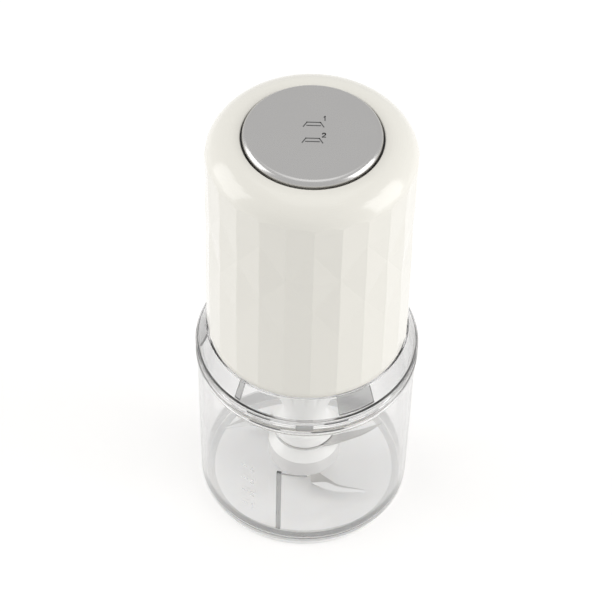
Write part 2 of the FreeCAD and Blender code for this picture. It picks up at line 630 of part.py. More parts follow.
def gearbox():
    """The gearbox's housing, its output bush and the bracket that closes it."""
    bush = "output_radius + running_gap + output_bush_wall"
    nose_foot = "cover_top - nose_depth"
    gear_bore = "ring_gear_radius + seat_gap"
    floor = "cover_top + housing_floor"
    housing = turned("gearbox_housing", [
        (f"{bush} + seat_gap", nose_foot), ("nose_radius", nose_foot), ("nose_radius", "cover_top"),
        ("flange_reach", "cover_top"), ("flange_reach", floor), ("housing_radius", floor),
        ("housing_radius", "gear_top"), (gear_bore, "gear_top"), (gear_bore, "ring_gear_foot"),
        (f"{gear_bore} - ledge_wall", "ring_gear_foot"), (f"{gear_bore} - ledge_wall", floor),
        (f"{bush} + seat_gap", floor)])
    hole = pocket(housing, "flange_hole", floor, "housing_floor", circles,
                  ("flange_screw_circle", "0", "screw_radius + seat_gap"))
    around(housing, hole, "bolt_count")
    finish("gearbox_housing", housing)
    finish("output_bush", disc("output_bush", bush, nose_foot, "nose_depth + housing_floor",
                               "output_radius + running_gap"))
    bearing = "bearing_radius + seat_gap"
    seat_top = "bracket_top + bearing_height"
    bracket = turned("motor_bracket", [
        ("shaft_radius + shaft_gap", "gear_top"), ("stator_radius", "gear_top"),
        ("stator_radius", "bracket_top"), ("bearing_radius + bearing_wall", "bracket_top"),
        ("bearing_radius + bearing_wall", seat_top), (bearing, seat_top),
        (bearing, "bracket_top - bearing_sink"),
        ("shaft_radius + shaft_gap", "bracket_top - bearing_sink")])
    diagonal = "bolt_circle * sqrt(0.5)"
    post = pad(bracket, "bracket_post", "bracket_top", "core_foot - bracket_top", circles,
               (diagonal, diagonal, "pillar_radius"))
    around(bracket, post, "bolt_count")
    bore = pocket(bracket, "bracket_bore", "core_foot", "bolt_depth", circles,
                  (diagonal, diagonal, "bolt_radius + seat_gap"))
    around(bracket, bore, "bolt_count")
    finish("motor_bracket", bracket)
    finish("lower_bearing", disc("lower_bearing", "bearing_radius", "bracket_top - bearing_sink",
                                 "bearing_height", "shaft_radius + running_gap"))


def stator():
    """The laminated core with its two field coils."""
    diagonal = "bolt_circle * sqrt(0.5)"
    core = disc("stator_core", "stator_radius", "core_foot", "core_height", "stator_bore")
    bore = pocket(core, "stator_bolt_hole", "core_top", "core_height", circles,
                  (diagonal, diagonal, "bolt_radius + seat_gap"))
    around(core, bore, "bolt_count")
    slot = rectangle("coil_inner - coil_gap", "core_foot - overlap",
                     "coil_outer + coil_gap", "core_top + overlap")
    leg = "(coil_span - pole_span) / 2 + 2 * coil_gap"
    for index, extra in enumerate(("0", "180")):
        for side, sign in (("a", "-"), ("b", "+")):
            turn_about_axis(core, f"stator_slot_{index + 1}{side}", slot, leg,
                            f"{extra} {sign} (coil_span + pole_span) / 4", cut=True)
    finish("stator_core", core)
    coils = []
    for index, turn in enumerate(("0", "180")):
        section = rectangle("coil_inner", "core_foot - coil_overhang",
                            "coil_outer", "core_top + coil_overhang")
        coil = turned(f"field_coil_{index + 1}", section, "coil_span", turn)
        window = rectangle("coil_inner - overlap", "core_foot - coil_gap",
                           "coil_outer + overlap", "core_top + coil_gap")
        turn_about_axis(coil, f"field_window_{index + 1}", window, "pole_span", turn, cut=True)
        coils.append(coil)
    finish("field_coils", joined("field_coils", "Compound", *coils))


def motor_frame():
    """The upper frame of the motor: a bearing plate on a skirt that stands on the core."""
    inner = "stator_radius - frame_wall"
    bearing = "bearing_radius + seat_gap"
    seat_top = "frame_top + bearing_height - bearing_sink"
    body = turned("motor_frame", [
        (inner, "core_top"), ("stator_radius", "core_top"), ("stator_radius", "frame_top"),
        ("bearing_radius + bearing_wall", "frame_top"), ("bearing_radius + bearing_wall", seat_top),
        (bearing, seat_top), (bearing, "frame_top - bearing_sink"),
        ("shaft_radius + shaft_gap", "frame_top - bearing_sink"),
        ("shaft_radius + shaft_gap", "frame_foot"), (inner, "frame_foot")])
    diagonal = "bolt_circle * sqrt(0.5)"
    hole = pocket(body, "frame_bolt_hole", "frame_top", "frame_top - core_top", circles,
                  (diagonal, diagonal, "bolt_radius + seat_gap"))
    around(body, hole, "bolt_count")
    low = "core_top + (frame_rise - frame_window_height) / 2"
    sketch = outline(new_sketch(body, "frame_window_sketch", "XZ_Plane"),
                     rectangle("-frame_window / 2", low, "frame_window / 2", f"{low} + frame_window_height"))
    window = body.newObject("PartDesign::Pocket", "frame_window")
    window.Profile = sketch
    window.Midplane = True
    window.setExpression("Length", rule("stator_radius * 2 + overlap"))
    doc.recompute()
    finish("motor_frame", body)
    finish("upper_bearing", disc("upper_bearing", "bearing_radius", "frame_top - bearing_sink",
                                 "bearing_height", "shaft_radius + running_gap"))


def motor_bolts():
    """The four long bolts from the upper frame through the core into the bracket's posts."""
    diagonal = "bolt_circle * sqrt(0.5)"
    bolts = new_body("motor_bolts")
    bolts.AllowCompound = True
    foot = "core_foot - bolt_depth"
    shank = pad(bolts, "bolt_shank", foot, "frame_top - core_foot + bolt_depth", circles,
                (diagonal, diagonal, "bolt_radius"))
    around(bolts, shank, "bolt_count")
    head = pad(bolts, "bolt_head", "frame_top", "screw_head_height", circles,
               (diagonal, diagonal, "screw_head"))
    around(bolts, head, "bolt_count")
    finish("motor_bolts", bolts)


def armature():
    """The motor's turning pieces: shaft, core, windings, commutator and cooling fan."""
    foot = "planet_foot + planet_gap"
    head = "frame_top + bearing_height - bearing_sink + shaft_top"
    finish("motor_shaft", disc("motor_shaft", "shaft_radius", foot, f"{head} - ({foot})"))
    bore = "shaft_radius + seat_gap"
    core = disc("armature_core", "stator_bore - air_gap", "core_foot", "core_height", bore)
    slot = pocket(core, "armature_slot", "core_top", "core_height", circles,
                  ("slot_circle", "0", "slot_radius"))
    around(core, slot, "slot_count")
    finish("armature_core", core)
    ends = []
    for index, (low, high) in enumerate((("core_foot - winding_height", "core_foot"),
                                         ("core_top", "core_top + winding_height"))):
        edge = "winding_height / 2"
        ends.append(turned(f"winding_end_{index + 1}", [
            ("winding_core", low), (f"winding_radius - {edge}", low, edge, 1),
            ("winding_radius", f"{low} + {edge}", edge, 1), (f"winding_radius - {edge}", high),
            ("winding_core", high)]))
    finish("armature_windings", joined("armature_windings", "Compound", *ends))
    commutator = disc("commutator", "commutator_radius", "core_top + commutator_rise",
                      "commutator_height", bore)
    finish("commutator", commutator)
    fan_foot = "gear_top + fan_rise"
    fan = turned("cooling_fan", [
        (bore, fan_foot), ("fan_radius", fan_foot), ("fan_radius", f"{fan_foot} + fan_disc"),
        ("fan_hub", f"{fan_foot} + fan_disc"), ("fan_hub", f"{fan_foot} + fan_height"),
        (bore, f"{fan_foot} + fan_height")])
    blade = pad(fan, "fan_blade", f"{fan_foot} + fan_disc", "fan_height - fan_disc", outline,
                rectangle("fan_hub - overlap", "-fan_blade / 2", "fan_radius - fan_edge", "fan_blade / 2"))
    around(fan, blade, "fan_blades")
    finish("cooling_fan", fan)


def block(name, x, y, z, length, width, height):
    """A box from its middle in plan and its foot."""
    box = doc.addObject("Part::Box", name)
    bind(box, Length=length, Width=width, Height=height)
    return place(box, x=f"{x} - ({length}) / 2", y=f"{y} - ({width}) / 2", z=z)


def brushes():
    """The carbon brushes in their holders, one each side of the commutator."""
    near = "commutator_radius + holder_gap"
    far = "(sqrt((stator_radius - frame_wall)^2 - holder_width^2 / 4) - seat_gap)"
    length = f"({far} - ({near}))"
    carbon_near = "commutator_radius + brush_gap"
    holders = []
    carbons = []
    inner_width = "holder_width - 2 * holder_wall"
    inner_height = "holder_height - 2 * holder_wall"
    for index, sign in enumerate(("", "-")):
        middle = f"{sign}({near} + {length} / 2)"
        case = block(f"holder_case_{index + 1}", middle, "0", "commutator_middle - holder_height / 2",
                     length, "holder_width", "holder_height")
        hole = block(f"holder_hole_{index + 1}", middle, "0", f"commutator_middle - ({inner_height}) / 2",
                     f"{length} + 2 * overlap", inner_width, inner_height)
        holders.append(joined(f"holder_{index + 1}", "Cut", case, hole))
        carbons.append(block(f"carbon_{index + 1}", f"{sign}({carbon_near} + brush_length / 2)", "0",
                             f"commutator_middle - ({inner_height}) / 2 + brush_play", "brush_length",
                             f"{inner_width} - 2 * brush_play", f"{inner_height} - 2 * brush_play"))
    finish("brush_holders", joined("brush_holders", "Compound", *holders))
    finish("carbon_brushes", joined("carbon_brushes", "Compound", *carbons))


def base_cover():
    """The power unit's underside, with the cup round the coupling, vents and screw holes."""
    nose_hole = "nose_radius + seat_gap"
    cup_bore = "cup_radius - cup_wall"
    floor = "cover_top - cover_floor"
    body = turned("base_cover", [
        (nose_hole, floor), (cup_bore, floor), (cup_bore, "lid_top - cup_depth"),
        ("cup_radius", "lid_top - cup_depth"), ("cup_radius", "lid_top"), ("cover_radius", "lid_top"),
        ("cover_radius", "shell_foot"), ("shell_bore - deck_gap", "shell_foot"),
        ("shell_bore - deck_gap", "cover_top"), (nose_hole, "cover_top")])
    vent = pocket(body, "cover_vent", "cover_top", "cover_rim + cover_step", circles,
                  ("vent_circle", "0", "vent_radius"))
    around(body, vent, "vent_count")
    sink_top = "lid_top + screw_head_height + screw_sink"
    for name, radius, top in (("cover_hole", "screw_radius + seat_gap", "cover_top"),
                              ("cover_sink", "screw_head + seat_gap", sink_top)):
        hole = pocket(body, name, top, f"{top} - lid_top", circles, ("post_circle", "0", radius))
        around(body, hole, "post_count")
    tap = pocket(body, "cover_tap", "cover_top", "flange_screw_length - housing_floor", circles,
                 ("flange_screw_circle", "0", "screw_radius + seat_gap"))
    around(body, tap, "bolt_count")
    finish("base_cover", body)


def screws(name, count, x, y, foot, length, head_foot):
    """A ring of round-headed screws."""
    group = new_body(name)
    group.AllowCompound = True
    shank = pad(group, f"{name}_shank", foot, length, circles, (x, y, "screw_radius"))
    around(group, shank, count)
    head = pad(group, f"{name}_head", head_foot, "screw_head_height", circles, (x, y, "screw_head"))
    around(group, head, count)
    finish(name, group)


def faceted_block():
    """The many-sided bar of the casing: plain strips below, then corners dented in turn."""
    count = round(value("facet_count"))
    radius = value("shell_radius")
    dent = value("facet_dent")
    turn = math.radians(value("facet_turn"))
    start = value("shell_foot + facet_start")
    row_height = value("facet_row")
    plain = [value("shell_foot - overlap"), start]
    folded = [start + row_height * step for step in range(1, round(value("facet_rows")) + 1)]
    levels = [*plain, *folded, value("shell_top + overlap")]
    rows = []
    for level, height in enumerate(levels):
        ring = []
        for column in range(count):
            dented = height in folded and (level + column) % 2 == 0
            reach = radius - dent if dented else radius
            angle = turn + 2 * math.pi * (column + 0.5) / count
            ring.append(FreeCAD.Vector(reach * math.cos(angle), reach * math.sin(angle), height))
        rows.append(ring)
    faces = [Part.Face(Part.makePolygon(ring + ring[:1])) for ring in (rows[0], rows[-1])]
    for level in range(len(levels) - 1):
        for column in range(count):
            following = (column + 1) % count
            a, b = rows[level][column], rows[level][following]
            c, d = rows[level + 1][following], rows[level + 1][column]
            halves = ((a, b, c), (a, c, d)) if (level + column) % 2 == 0 else ((a, b, d), (b, c, d))
            faces += [Part.Face(Part.makePolygon([*half, half[0]])) for half in halves]
    feature = doc.addObject("Part::Feature", "facet_block")
    feature.Shape = Part.makeSolid(Part.makeShell(faces))
    return feature


def outer_shell():
    """The casing: strips round the side, a round shoulder and the mouth for the press plate."""
    bulk = "shell_radius + facet_margin"
    inside_bend = "(shoulder_bend - shell_wall)"
    ledge_top = "deck_top + ledge_height"
    form = turned("shell_form", [
        ("shell_bore", "shell_foot"), (bulk, "shell_foot"),
        (bulk, "shell_top - shoulder_bend", "shoulder_bend", 1), (f"{bulk} - shoulder_bend", "shell_top"),
        ("mouth_radius", "shell_top"), ("mouth_radius", "shell_top - shell_wall"),
        (f"shell_bore - {inside_bend}", "shell_top - shell_wall", inside_bend, -1),
        ("shell_bore", f"shell_top - shell_wall - {inside_bend}"),
        ("shell_bore", f"{ledge_top} + ledge_rise"),
        ("shell_bore - ledge_depth", ledge_top), ("shell_bore - ledge_depth", "deck_top"),
        ("shell_bore", "deck_top")])
    wall = joined("shell_faceted", "Common", form, faceted_block())
    posts = new_body("shell_posts")
    posts.AllowCompound = True
    post = pad(posts, "shell_post", "cover_top", "post_height", circles,
               ("post_circle", "0", "post_radius"))
    around(posts, post, "post_count")
    whole = joined("shell_with_posts", "MultiFuse", wall, posts)
    tools = new_body("shell_tools")
    tools.AllowCompound = True
    tap = pad(tools, "shell_tap", "cover_top - overlap", "screw_length", circles,
              ("post_circle", "0", "screw_radius + seat_gap"))
    around(tools, tap, "post_count")
    deck_tap = pad(tools, "deck_tap", "deck_top - overlap",
                   "deck_screw_length - deck_plate + overlap + tap_room", circles,
                   ("0", "-deck_screw_circle", "screw_radius + seat_gap"))
    around(tools, deck_tap, "post_count")
    gland = bind(doc.addObject("Part::Cylinder", "gland_hole"), Radius="gland_radius + seat_gap",
                 Height="shell_radius")
    place(gland, y="shell_bore - gland_reach", z="shell_foot + gland_rise", axis=(1, 0, 0), angle=-90.0)
    tapped = joined("shell_tapped", "Cut", whole, tools)
    finish("outer_shell", joined("outer_shell", "Cut", tapped, gland))


def cord_gland():
    """The rubber gland in the back of the casing, where the mains lead leaves it."""
    outside = "shell_radius + gland_stand"
    inside = "gland_shoulder - gland_lip"
    bore = "gland_radius - gland_wall"
    body = turned("cord_gland", [
        (bore, inside), ("gland_flange", inside), ("gland_flange", "gland_shoulder"),
        ("gland_radius", "gland_shoulder"), ("gland_radius", outside), ("gland_flange", outside),
        ("gland_flange - gland_bevel", f"{outside} + gland_lip"),
        ("gland_radius - gland_taper", f"{outside} + gland_reach"), (bore, f"{outside} + gland_reach")])
    place(body, z="shell_foot + gland_rise", axis=(1, 0, 0), angle=-90.0)
    finish("cord_gland", body)


def switch_deck():
    """The plate under the button: guides for its pins, a spring seat and posts for the board."""
    body = disc("switch_deck", "shell_bore - deck_gap", "deck_foot", "deck_plate", "deck_bore")
    sleeve_radius = "guide_pin + slide_gap + guide_wall"
    sleeve = pad(body, "guide_sleeve", "deck_top", "guide_rise", circles,
                 ("guide_circle", "0", sleeve_radius))
    around(body, sleeve, "guide_count")
    bore = pocket(body, "guide_bore", "deck_top + guide_rise", "guide_rise + deck_plate", circles,
                  ("guide_circle", "0", "guide_pin + slide_gap"))
    around(body, bore, "guide_count")
    collar = "spring_radius - spring_wire - slide_gap"
    pad(body, "spring_collar", "deck_top", "seat_collar", circles,
        ("0", "0", collar), ("0", "0", "deck_bore"))
    post_x = "-(board_inset + board_post + board_edge)"
    far_x = "-(board_inset + board_length - board_post - board_edge)"
    post_y = "(board_width / 2 - board_post - board_edge)"
    pad(body, "board_posts", "deck_top", "board_rise", circles,
        (post_x, post_y, "board_post"), (post_x, f"-{post_y}", "board_post"),
        (far_x, post_y, "board_post"), (far_x, f"-{post_y}", "board_post"))
    hole = pocket(body, "deck_hole", "deck_top", "deck_plate", circles,
                  ("0", "-deck_screw_circle", "screw_radius + seat_gap"))
    around(body, hole, "post_count")
    finish("switch_deck", body)
    middle = "-(board_inset + board_length / 2)"
    finish("circuit_board", block("circuit_board", middle, "0", "board_foot", "board_length",
                                  "board_width", "board_height"))
    switches = [block(f"speed_switch_{index + 1}", middle, f"{sign}switch_spread", "board_top",
                      "switch_length", "switch_width", "switch_height")
                for index, sign in enumerate(("", "-"))]
    finish("speed_switches", joined("speed_switches", "Compound", *switches))
    finish("suppression_capacitor", block("suppression_capacitor", "capacitor_place", "capacitor_offset",
                                          "deck_top", "capacitor_length", "capacitor_width",
                                          "capacitor_height"))


def press_plate():
    """The metal cap that is pressed: a flat face with a round edge over a thin skirt."""
    foot = "lip_top"
    inner = "button_radius - button_wall"
    finish("press_plate", turned("press_plate", [
        (inner, foot), ("button_radius", foot),
        ("button_radius", "button_top - button_edge", "button_edge", 1),
        ("button_radius - button_edge", "button_top"), ("0", "button_top"),
        ("0", "button_top - button_wall"),
        ("button_radius - button_edge", "button_top - button_wall", "button_edge - button_wall", -1),
        (inner, "button_top - button_edge")]))


def button_carrier():
    """The moulding under the press plate: a lip below the mouth, guide pins and two pushers."""
    under = "button_top - button_wall"
    edge = "button_edge - button_wall + seat_gap"
    inner = "button_radius - button_wall - seat_gap"
    lip = "mouth_radius + carrier_flange"
    body = turned("button_carrier", [
        ("0", "carrier_low"), (lip, "carrier_low"), (lip, "lip_top"), (inner, "lip_top"),
        (inner, "button_top - button_edge", edge, 1), ("button_radius - button_edge", f"{under} - seat_gap"),
        ("button_radius - button_edge", under), ("0", under)])
    pin = pad(body, "guide_pin_pad", "carrier_low - guide_reach", "guide_reach", circles,
              ("guide_circle", "0", "guide_pin"))
    around(body, pin, "guide_count")
    reach = "(carrier_low - switch_top - button_travel - slide_gap)"
    middle = "-(board_inset + board_length / 2)"
    half = "(switch_width / 2 - pusher_inset)"
    for index, sign in enumerate(("", "-")):
        pad(body, f"pusher_{index + 1}", f"carrier_low - {reach}", reach, outline,
            rectangle(f"{middle} - {half}", f"{sign}switch_spread - {half}",
                      f"{middle} + {half}", f"{sign}switch_spread + {half}"))
    finish("button_carrier", body)


def button_spring():
    """The coil spring between the switch deck and the button."""
    low = "deck_top + spring_wire + spring_tail"
    tall = "(carrier_low - deck_top - 2 * (spring_wire + spring_tail))"
    helix = doc.addObject("Part::Helix", "spring_path")
    bind(helix, Radius="spring_radius", Height=tall, Pitch=f"{tall} / spring_turns")
    place(helix, z=low)
    wire = doc.addObject("Part::Circle", "spring_section")
    bind(wire, Radius="spring_wire")
    place(wire, x="spring_radius", z=low, axis=(1, 0, 0), angle=90.0)
    doc.recompute()
    coil = doc.addObject("Part::Sweep", "button_spring")
    coil.Sections = [wire]
    coil.Spine = (helix, ["Edge1"])
    coil.Solid = True
    coil.Frenet = True
    doc.recompute()
    finish("button_spring", coil)


for make in (non_slip_base, bowl, bowl_pin, bowl_lid, lid_seal, lower_blade, upper_blade, blade_hub,
             hub_bush, drive_socket, gears, planet_carrier, gearbox, stator, motor_frame, motor_bolts,
             armature, brushes, base_cover, outer_shell, cord_gland, switch_deck, press_plate,
             button_carrier, button_spring):
    make()
screws("gearbox_screws", "bolt_count", "flange_screw_circle", "0",
       "cover_top + housing_floor - flange_screw_length", "flange_screw_length", "cover_top + housing_floor")
screws("cover_screws", "post_count", "post_circle", "0", "lid_top + screw_sink + screw_head_height",
       "screw_length - overlap", "lid_top + screw_sink")
screws("deck_screws", "post_count", "0", "-deck_screw_circle", "deck_foot",
       "deck_screw_length", "deck_foot - screw_head_height")

doc.recompute()
faulty = [item.Name for item in doc.Objects if "Invalid" in item.State or "Error" in item.State]
if faulty:
    raise RuntimeError(f"these objects failed: {faulty}")
for name, thing in finished.items():
    if thing.Shape.isNull() or not thing.Shape.isValid() or not thing.Shape.Solids:
        raise RuntimeError(f"{name} has no sound solid")
os.makedirs("parts", exist_ok=True)
for name, thing in finished.items():
    thing.Shape.exportStep(f"parts/{name}.step")
    print(name, len(thing.Shape.Solids), round(thing.Shape.Volume, 1))
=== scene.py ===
import json
import math
import bpy
import bmesh
from mathutils import Matrix, Vector


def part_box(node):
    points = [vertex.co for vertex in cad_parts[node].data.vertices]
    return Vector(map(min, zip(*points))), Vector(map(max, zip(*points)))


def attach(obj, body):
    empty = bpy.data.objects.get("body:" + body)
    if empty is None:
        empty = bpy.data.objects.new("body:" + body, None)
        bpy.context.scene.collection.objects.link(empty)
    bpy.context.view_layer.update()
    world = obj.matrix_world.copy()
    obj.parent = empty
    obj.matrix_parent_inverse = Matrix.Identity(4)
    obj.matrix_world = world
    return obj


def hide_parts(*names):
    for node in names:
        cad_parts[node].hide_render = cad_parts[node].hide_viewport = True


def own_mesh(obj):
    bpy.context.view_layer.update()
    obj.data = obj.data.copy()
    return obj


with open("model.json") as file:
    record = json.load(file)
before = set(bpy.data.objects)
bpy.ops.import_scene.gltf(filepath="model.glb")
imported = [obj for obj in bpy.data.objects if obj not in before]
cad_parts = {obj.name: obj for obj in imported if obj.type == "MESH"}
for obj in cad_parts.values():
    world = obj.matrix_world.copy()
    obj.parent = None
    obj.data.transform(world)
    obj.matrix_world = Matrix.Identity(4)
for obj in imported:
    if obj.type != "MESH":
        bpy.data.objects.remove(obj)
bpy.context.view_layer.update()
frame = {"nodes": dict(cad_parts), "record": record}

mm = 0.001
print("frame loaded:", len(frame["nodes"]), "nodes")


def newObject(name, data):
    thing = bpy.data.objects.new(name, data)
    bpy.context.scene.collection.objects.link(thing)
    return thing


cameraSettings = {"distance": 1323.8, "elevation": 48.91, "aim": 129.2, "lens": 153.98,
                  "sensor": 36.0, "roll": 1.63, "shiftX": -0.0029, "shiftY": 0.0036}


def addCamera(settings):
    lift = math.radians(settings["elevation"])
    aim = Vector((0, 0, settings["aim"] * mm))
    back = Vector((0, -math.cos(lift), math.sin(lift))) * settings["distance"] * mm
    data = bpy.data.cameras.new("viewCamera")
    data.lens = settings["lens"]
    data.sensor_width = settings["sensor"]
    data.shift_x = settings["shiftX"]
    data.shift_y = settings["shiftY"]
    data.clip_end = 20
    camera = newObject("viewCamera", data)
    turn = (-back).to_track_quat("-Z", "Y").to_matrix().to_4x4()
    roll = Matrix.Rotation(math.radians(settings["roll"]), 4, "Z")
    camera.matrix_world = Matrix.Translation(aim + back) @ turn @ roll
    bpy.context.scene.camera = camera


addCamera(cameraSettings)
print("camera placed")


def feed(tree, node, inputs):    # another node's output is linked, a plain value is set
    for key, value in inputs.items():
        if hasattr(value, "is_output"):
            tree.links.new(value, node.inputs[key])
        else:
            node.inputs[key].default_value = value


def addNode(tree, kind, inputs=None, **values):
    node = tree.nodes.new(kind)
    for key, value in values.items():
        setattr(node, key, value)
    feed(tree, node, inputs or {})
    return node


def newGroup(name, inputs, outputs):    # a start value's own kind gives its socket's kind
    group = bpy.data.node_groups.new(name, "ShaderNodeTree")
    kinds = {4: "NodeSocketColor", 3: "NodeSocketVector"}
    for label, start in inputs.items():
        kind = kinds[len(start)] if isinstance(start, tuple) else "NodeSocketFloat"
        socket = group.interface.new_socket(name=label, in_out="INPUT", socket_type=kind)
        socket.default_value = start
    for label in outputs:
        kind = "NodeSocketColor" if label == "Colour" else "NodeSocketFloat"
        group.interface.new_socket(name=label, in_out="OUTPUT", socket_type=kind)
    given = addNode(group, "NodeGroupInput").outputs
    sink = addNode(group, "NodeGroupOutput")
    place = addNode(group, "ShaderNodeTexCoord").outputs["Object"]
    return group, given, sink, place


def noiseNode(tree, vector, scale, detail, roughness=0.5):
    inputs = {"Detail": detail, "Roughness": roughness, "Vector": vector, "Scale": scale}
    return addNode(tree, "ShaderNodeTexNoise", inputs).outputs["Fac"]


def mathNode(tree, operation, first, second=0.0, clamp=False):
    inputs = {0: first, 1: second}
    return addNode(tree, "ShaderNodeMath", inputs, operation=operation, use_clamp=clamp).outputs[0]


def mixColour(tree, factor, first, second):    # sockets 0, 6 and 7 of a mix node are those for colours
    inputs = {0: factor, 6: first, 7: second}
    return addNode(tree, "ShaderNodeMix", inputs, data_type="RGBA").outputs[2]


def endSkin(group, given, sink, share, swing, height):    # the outputs that both skins have
    spread = mathNode(group, "MULTIPLY", swing, given["Gloss Spread"])
    feed(group, sink, {"Colour": mixColour(group, share, given["Tone"], given["Second Tone"]),
                       "Roughness": mathNode(group, "ADD", given["Gloss"], spread, True),
                       "Height": height})


def mouldedSkinGroup():    # soft drift of tone, gloss and level on moulded plastic
    inputs = {"Tone": (0.8, 0.8, 0.8, 1), "Second Tone": (0.7, 0.7, 0.7, 1), "Scale": 40.0,
              "Gloss": 0.2, "Gloss Spread": 0.05}
    group, given, sink, place = newGroup("mouldedSkin", inputs, ("Colour", "Roughness", "Height"))
    broad = noiseNode(group, place, given["Scale"], 2.0)
    fineScale = mathNode(group, "MULTIPLY", given["Scale"], 14.0)
    fine = noiseNode(group, place, fineScale, 3.0, 0.6)
    endSkin(group, given, sink, broad, mathNode(group, "SUBTRACT", fine, 0.5), fine)
    return group


def brushedGrainGroup():    # long fine scratches along one way, with patches of handling
    inputs = {"Tone": (0.6, 0.6, 0.6, 1), "Second Tone": (0.5, 0.5, 0.5, 1),
              "Along": (40.0, 2600.0, 2600.0), "Gloss": 0.25, "Gloss Spread": 0.1}
    group, given, sink, place = newGroup("brushedGrain", inputs, ("Colour", "Roughness", "Height"))
    stretch = addNode(group, "ShaderNodeVectorMath", {0: place, 1: given["Along"]}, operation="MULTIPLY")
    grain = noiseNode(group, stretch.outputs[0], 1.0, 3.0, 0.65)
    patch = noiseNode(group, place, 60.0, 2.0)
    centred = mathNode(group, "SUBTRACT", mathNode(group, "ADD", grain, patch), 1.0)
    endSkin(group, given, sink, grain, centred, grain)
    return group


def layeredStripesGroup():    # stacked sheets or wound wire: even lines along one direction
    inputs = {"Tone": (0.6, 0.6, 0.6, 1), "Line Tone": (0.2, 0.2, 0.2, 1),
              "Direction": (0.0, 0.0, 1.0), "Lines Per Metre": 1000.0}
    group, given, sink, place = newGroup("layeredStripes", inputs, ("Colour", "Height"))
    ways = {0: place, 1: given["Direction"]}
    along = addNode(group, "ShaderNodeVectorMath", ways, operation="DOT_PRODUCT").outputs["Value"]
    turns = mathNode(group, "MULTIPLY", along, given["Lines Per Metre"])
    wave = mathNode(group, "SINE", mathNode(group, "MULTIPLY", turns, 2 * math.pi))
    lifted = mathNode(group, "MULTIPLY", mathNode(group, "ADD", wave, 1.0), 0.5)
    colour = mixColour(group, lifted, given["Line Tone"], given["Tone"])
    feed(group, sink, {"Colour": colour, "Height": lifted})
    return group


def heightZonesGroup():    # 1 inside a radius, 1 below a height, and 1 on a flat top to be frosted
    inputs = {"Radius": 0.046, "Height": 0.012, "Frost Height": 1.0, "Frost Radius": 0.05}
    group, given, sink, place = newGroup("heightZones", inputs, ("Inside", "Below", "Frost"))
    axes = addNode(group, "ShaderNodeSeparateXYZ", {0: place}).outputs
    across = mathNode(group, "POWER", axes["X"], 2.0)
    along = mathNode(group, "POWER", axes["Y"], 2.0)
    radius = mathNode(group, "SQRT", mathNode(group, "ADD", across, along))
    above = mathNode(group, "GREATER_THAN", axes["Z"], given["Frost Height"])
    within = mathNode(group, "LESS_THAN", radius, given["Frost Radius"])
    feed(group, sink, {"Inside": mathNode(group, "LESS_THAN", radius, given["Radius"]),
                       "Below": mathNode(group, "LESS_THAN", axes["Z"], given["Height"]),
                       "Frost": mathNode(group, "MULTIPLY", above, within)})
    return group


skinDepth, grainDepth = 0.02, 0.01    # bump depths in mm
clearScale = 12.0    # the drift of tint in clear plastic
mouldedSkin = mouldedSkinGroup()
heightZones = heightZonesGroup()
brushedGrain = brushedGrainGroup()
layeredStripes = layeredStripesGroup()


def tone(level, warm=0.0):
    return (level, level * (1 - warm * 0.5), level * (1 - warm), 1.0)


def startMaterial(name, values):
    material = bpy.data.materials.new(name)
    material.use_nodes = True
    tree = material.node_tree
    shader = tree.nodes["Principled BSDF"]
    feed(tree, shader, values)
    return material, tree, shader


def useEffect(tree, shader, group, values, bumpStrength, bumpDepth):
    effect = addNode(tree, "ShaderNodeGroup", values, node_tree=group).outputs
    bumpInputs = {"Strength": bumpStrength, "Distance": bumpDepth * mm, "Height": effect["Height"]}
    bump = addNode(tree, "ShaderNodeBump", bumpInputs)
    feed(tree, shader, {"Base Color": effect["Colour"], "Normal": bump.outputs["Normal"]})
    if "Roughness" in effect:
        feed(tree, shader, {"Roughness": effect["Roughness"]})


def plastic(name, first, second, gloss, scale=40.0, spread=0.06, bump=0.15, **extra):
    material, tree, shader = startMaterial(name, {"IOR": 1.49, **extra})
    values = {"Tone": first, "Second Tone": second, "Scale": scale, "Gloss": gloss, "Gloss Spread": spread}
    useEffect(tree, shader, mouldedSkin, values, bump, skinDepth)
    return material


def metal(name, first, second, gloss, along=(40.0, 2600.0, 2600.0), spread=0.12, bump=0.2, **extra):
    material, tree, shader = startMaterial(name, {"Metallic": 1.0, **extra})
    values = {"Tone": first, "Second Tone": second, "Along": along, "Gloss": gloss, "Gloss Spread": spread}
    useEffect(tree, shader, brushedGrain, values, bump, grainDepth)
    return material


def striped(name, first, line, direction, perMetre, shading, bump=0.6, depth=0.15):
    material, tree, shader = startMaterial(name, shading)
    values = {"Tone": first, "Line Tone": line, "Direction": direction, "Lines Per Metre": perMetre}
    useEffect(tree, shader, layeredStripes, values, bump, depth)
    return material


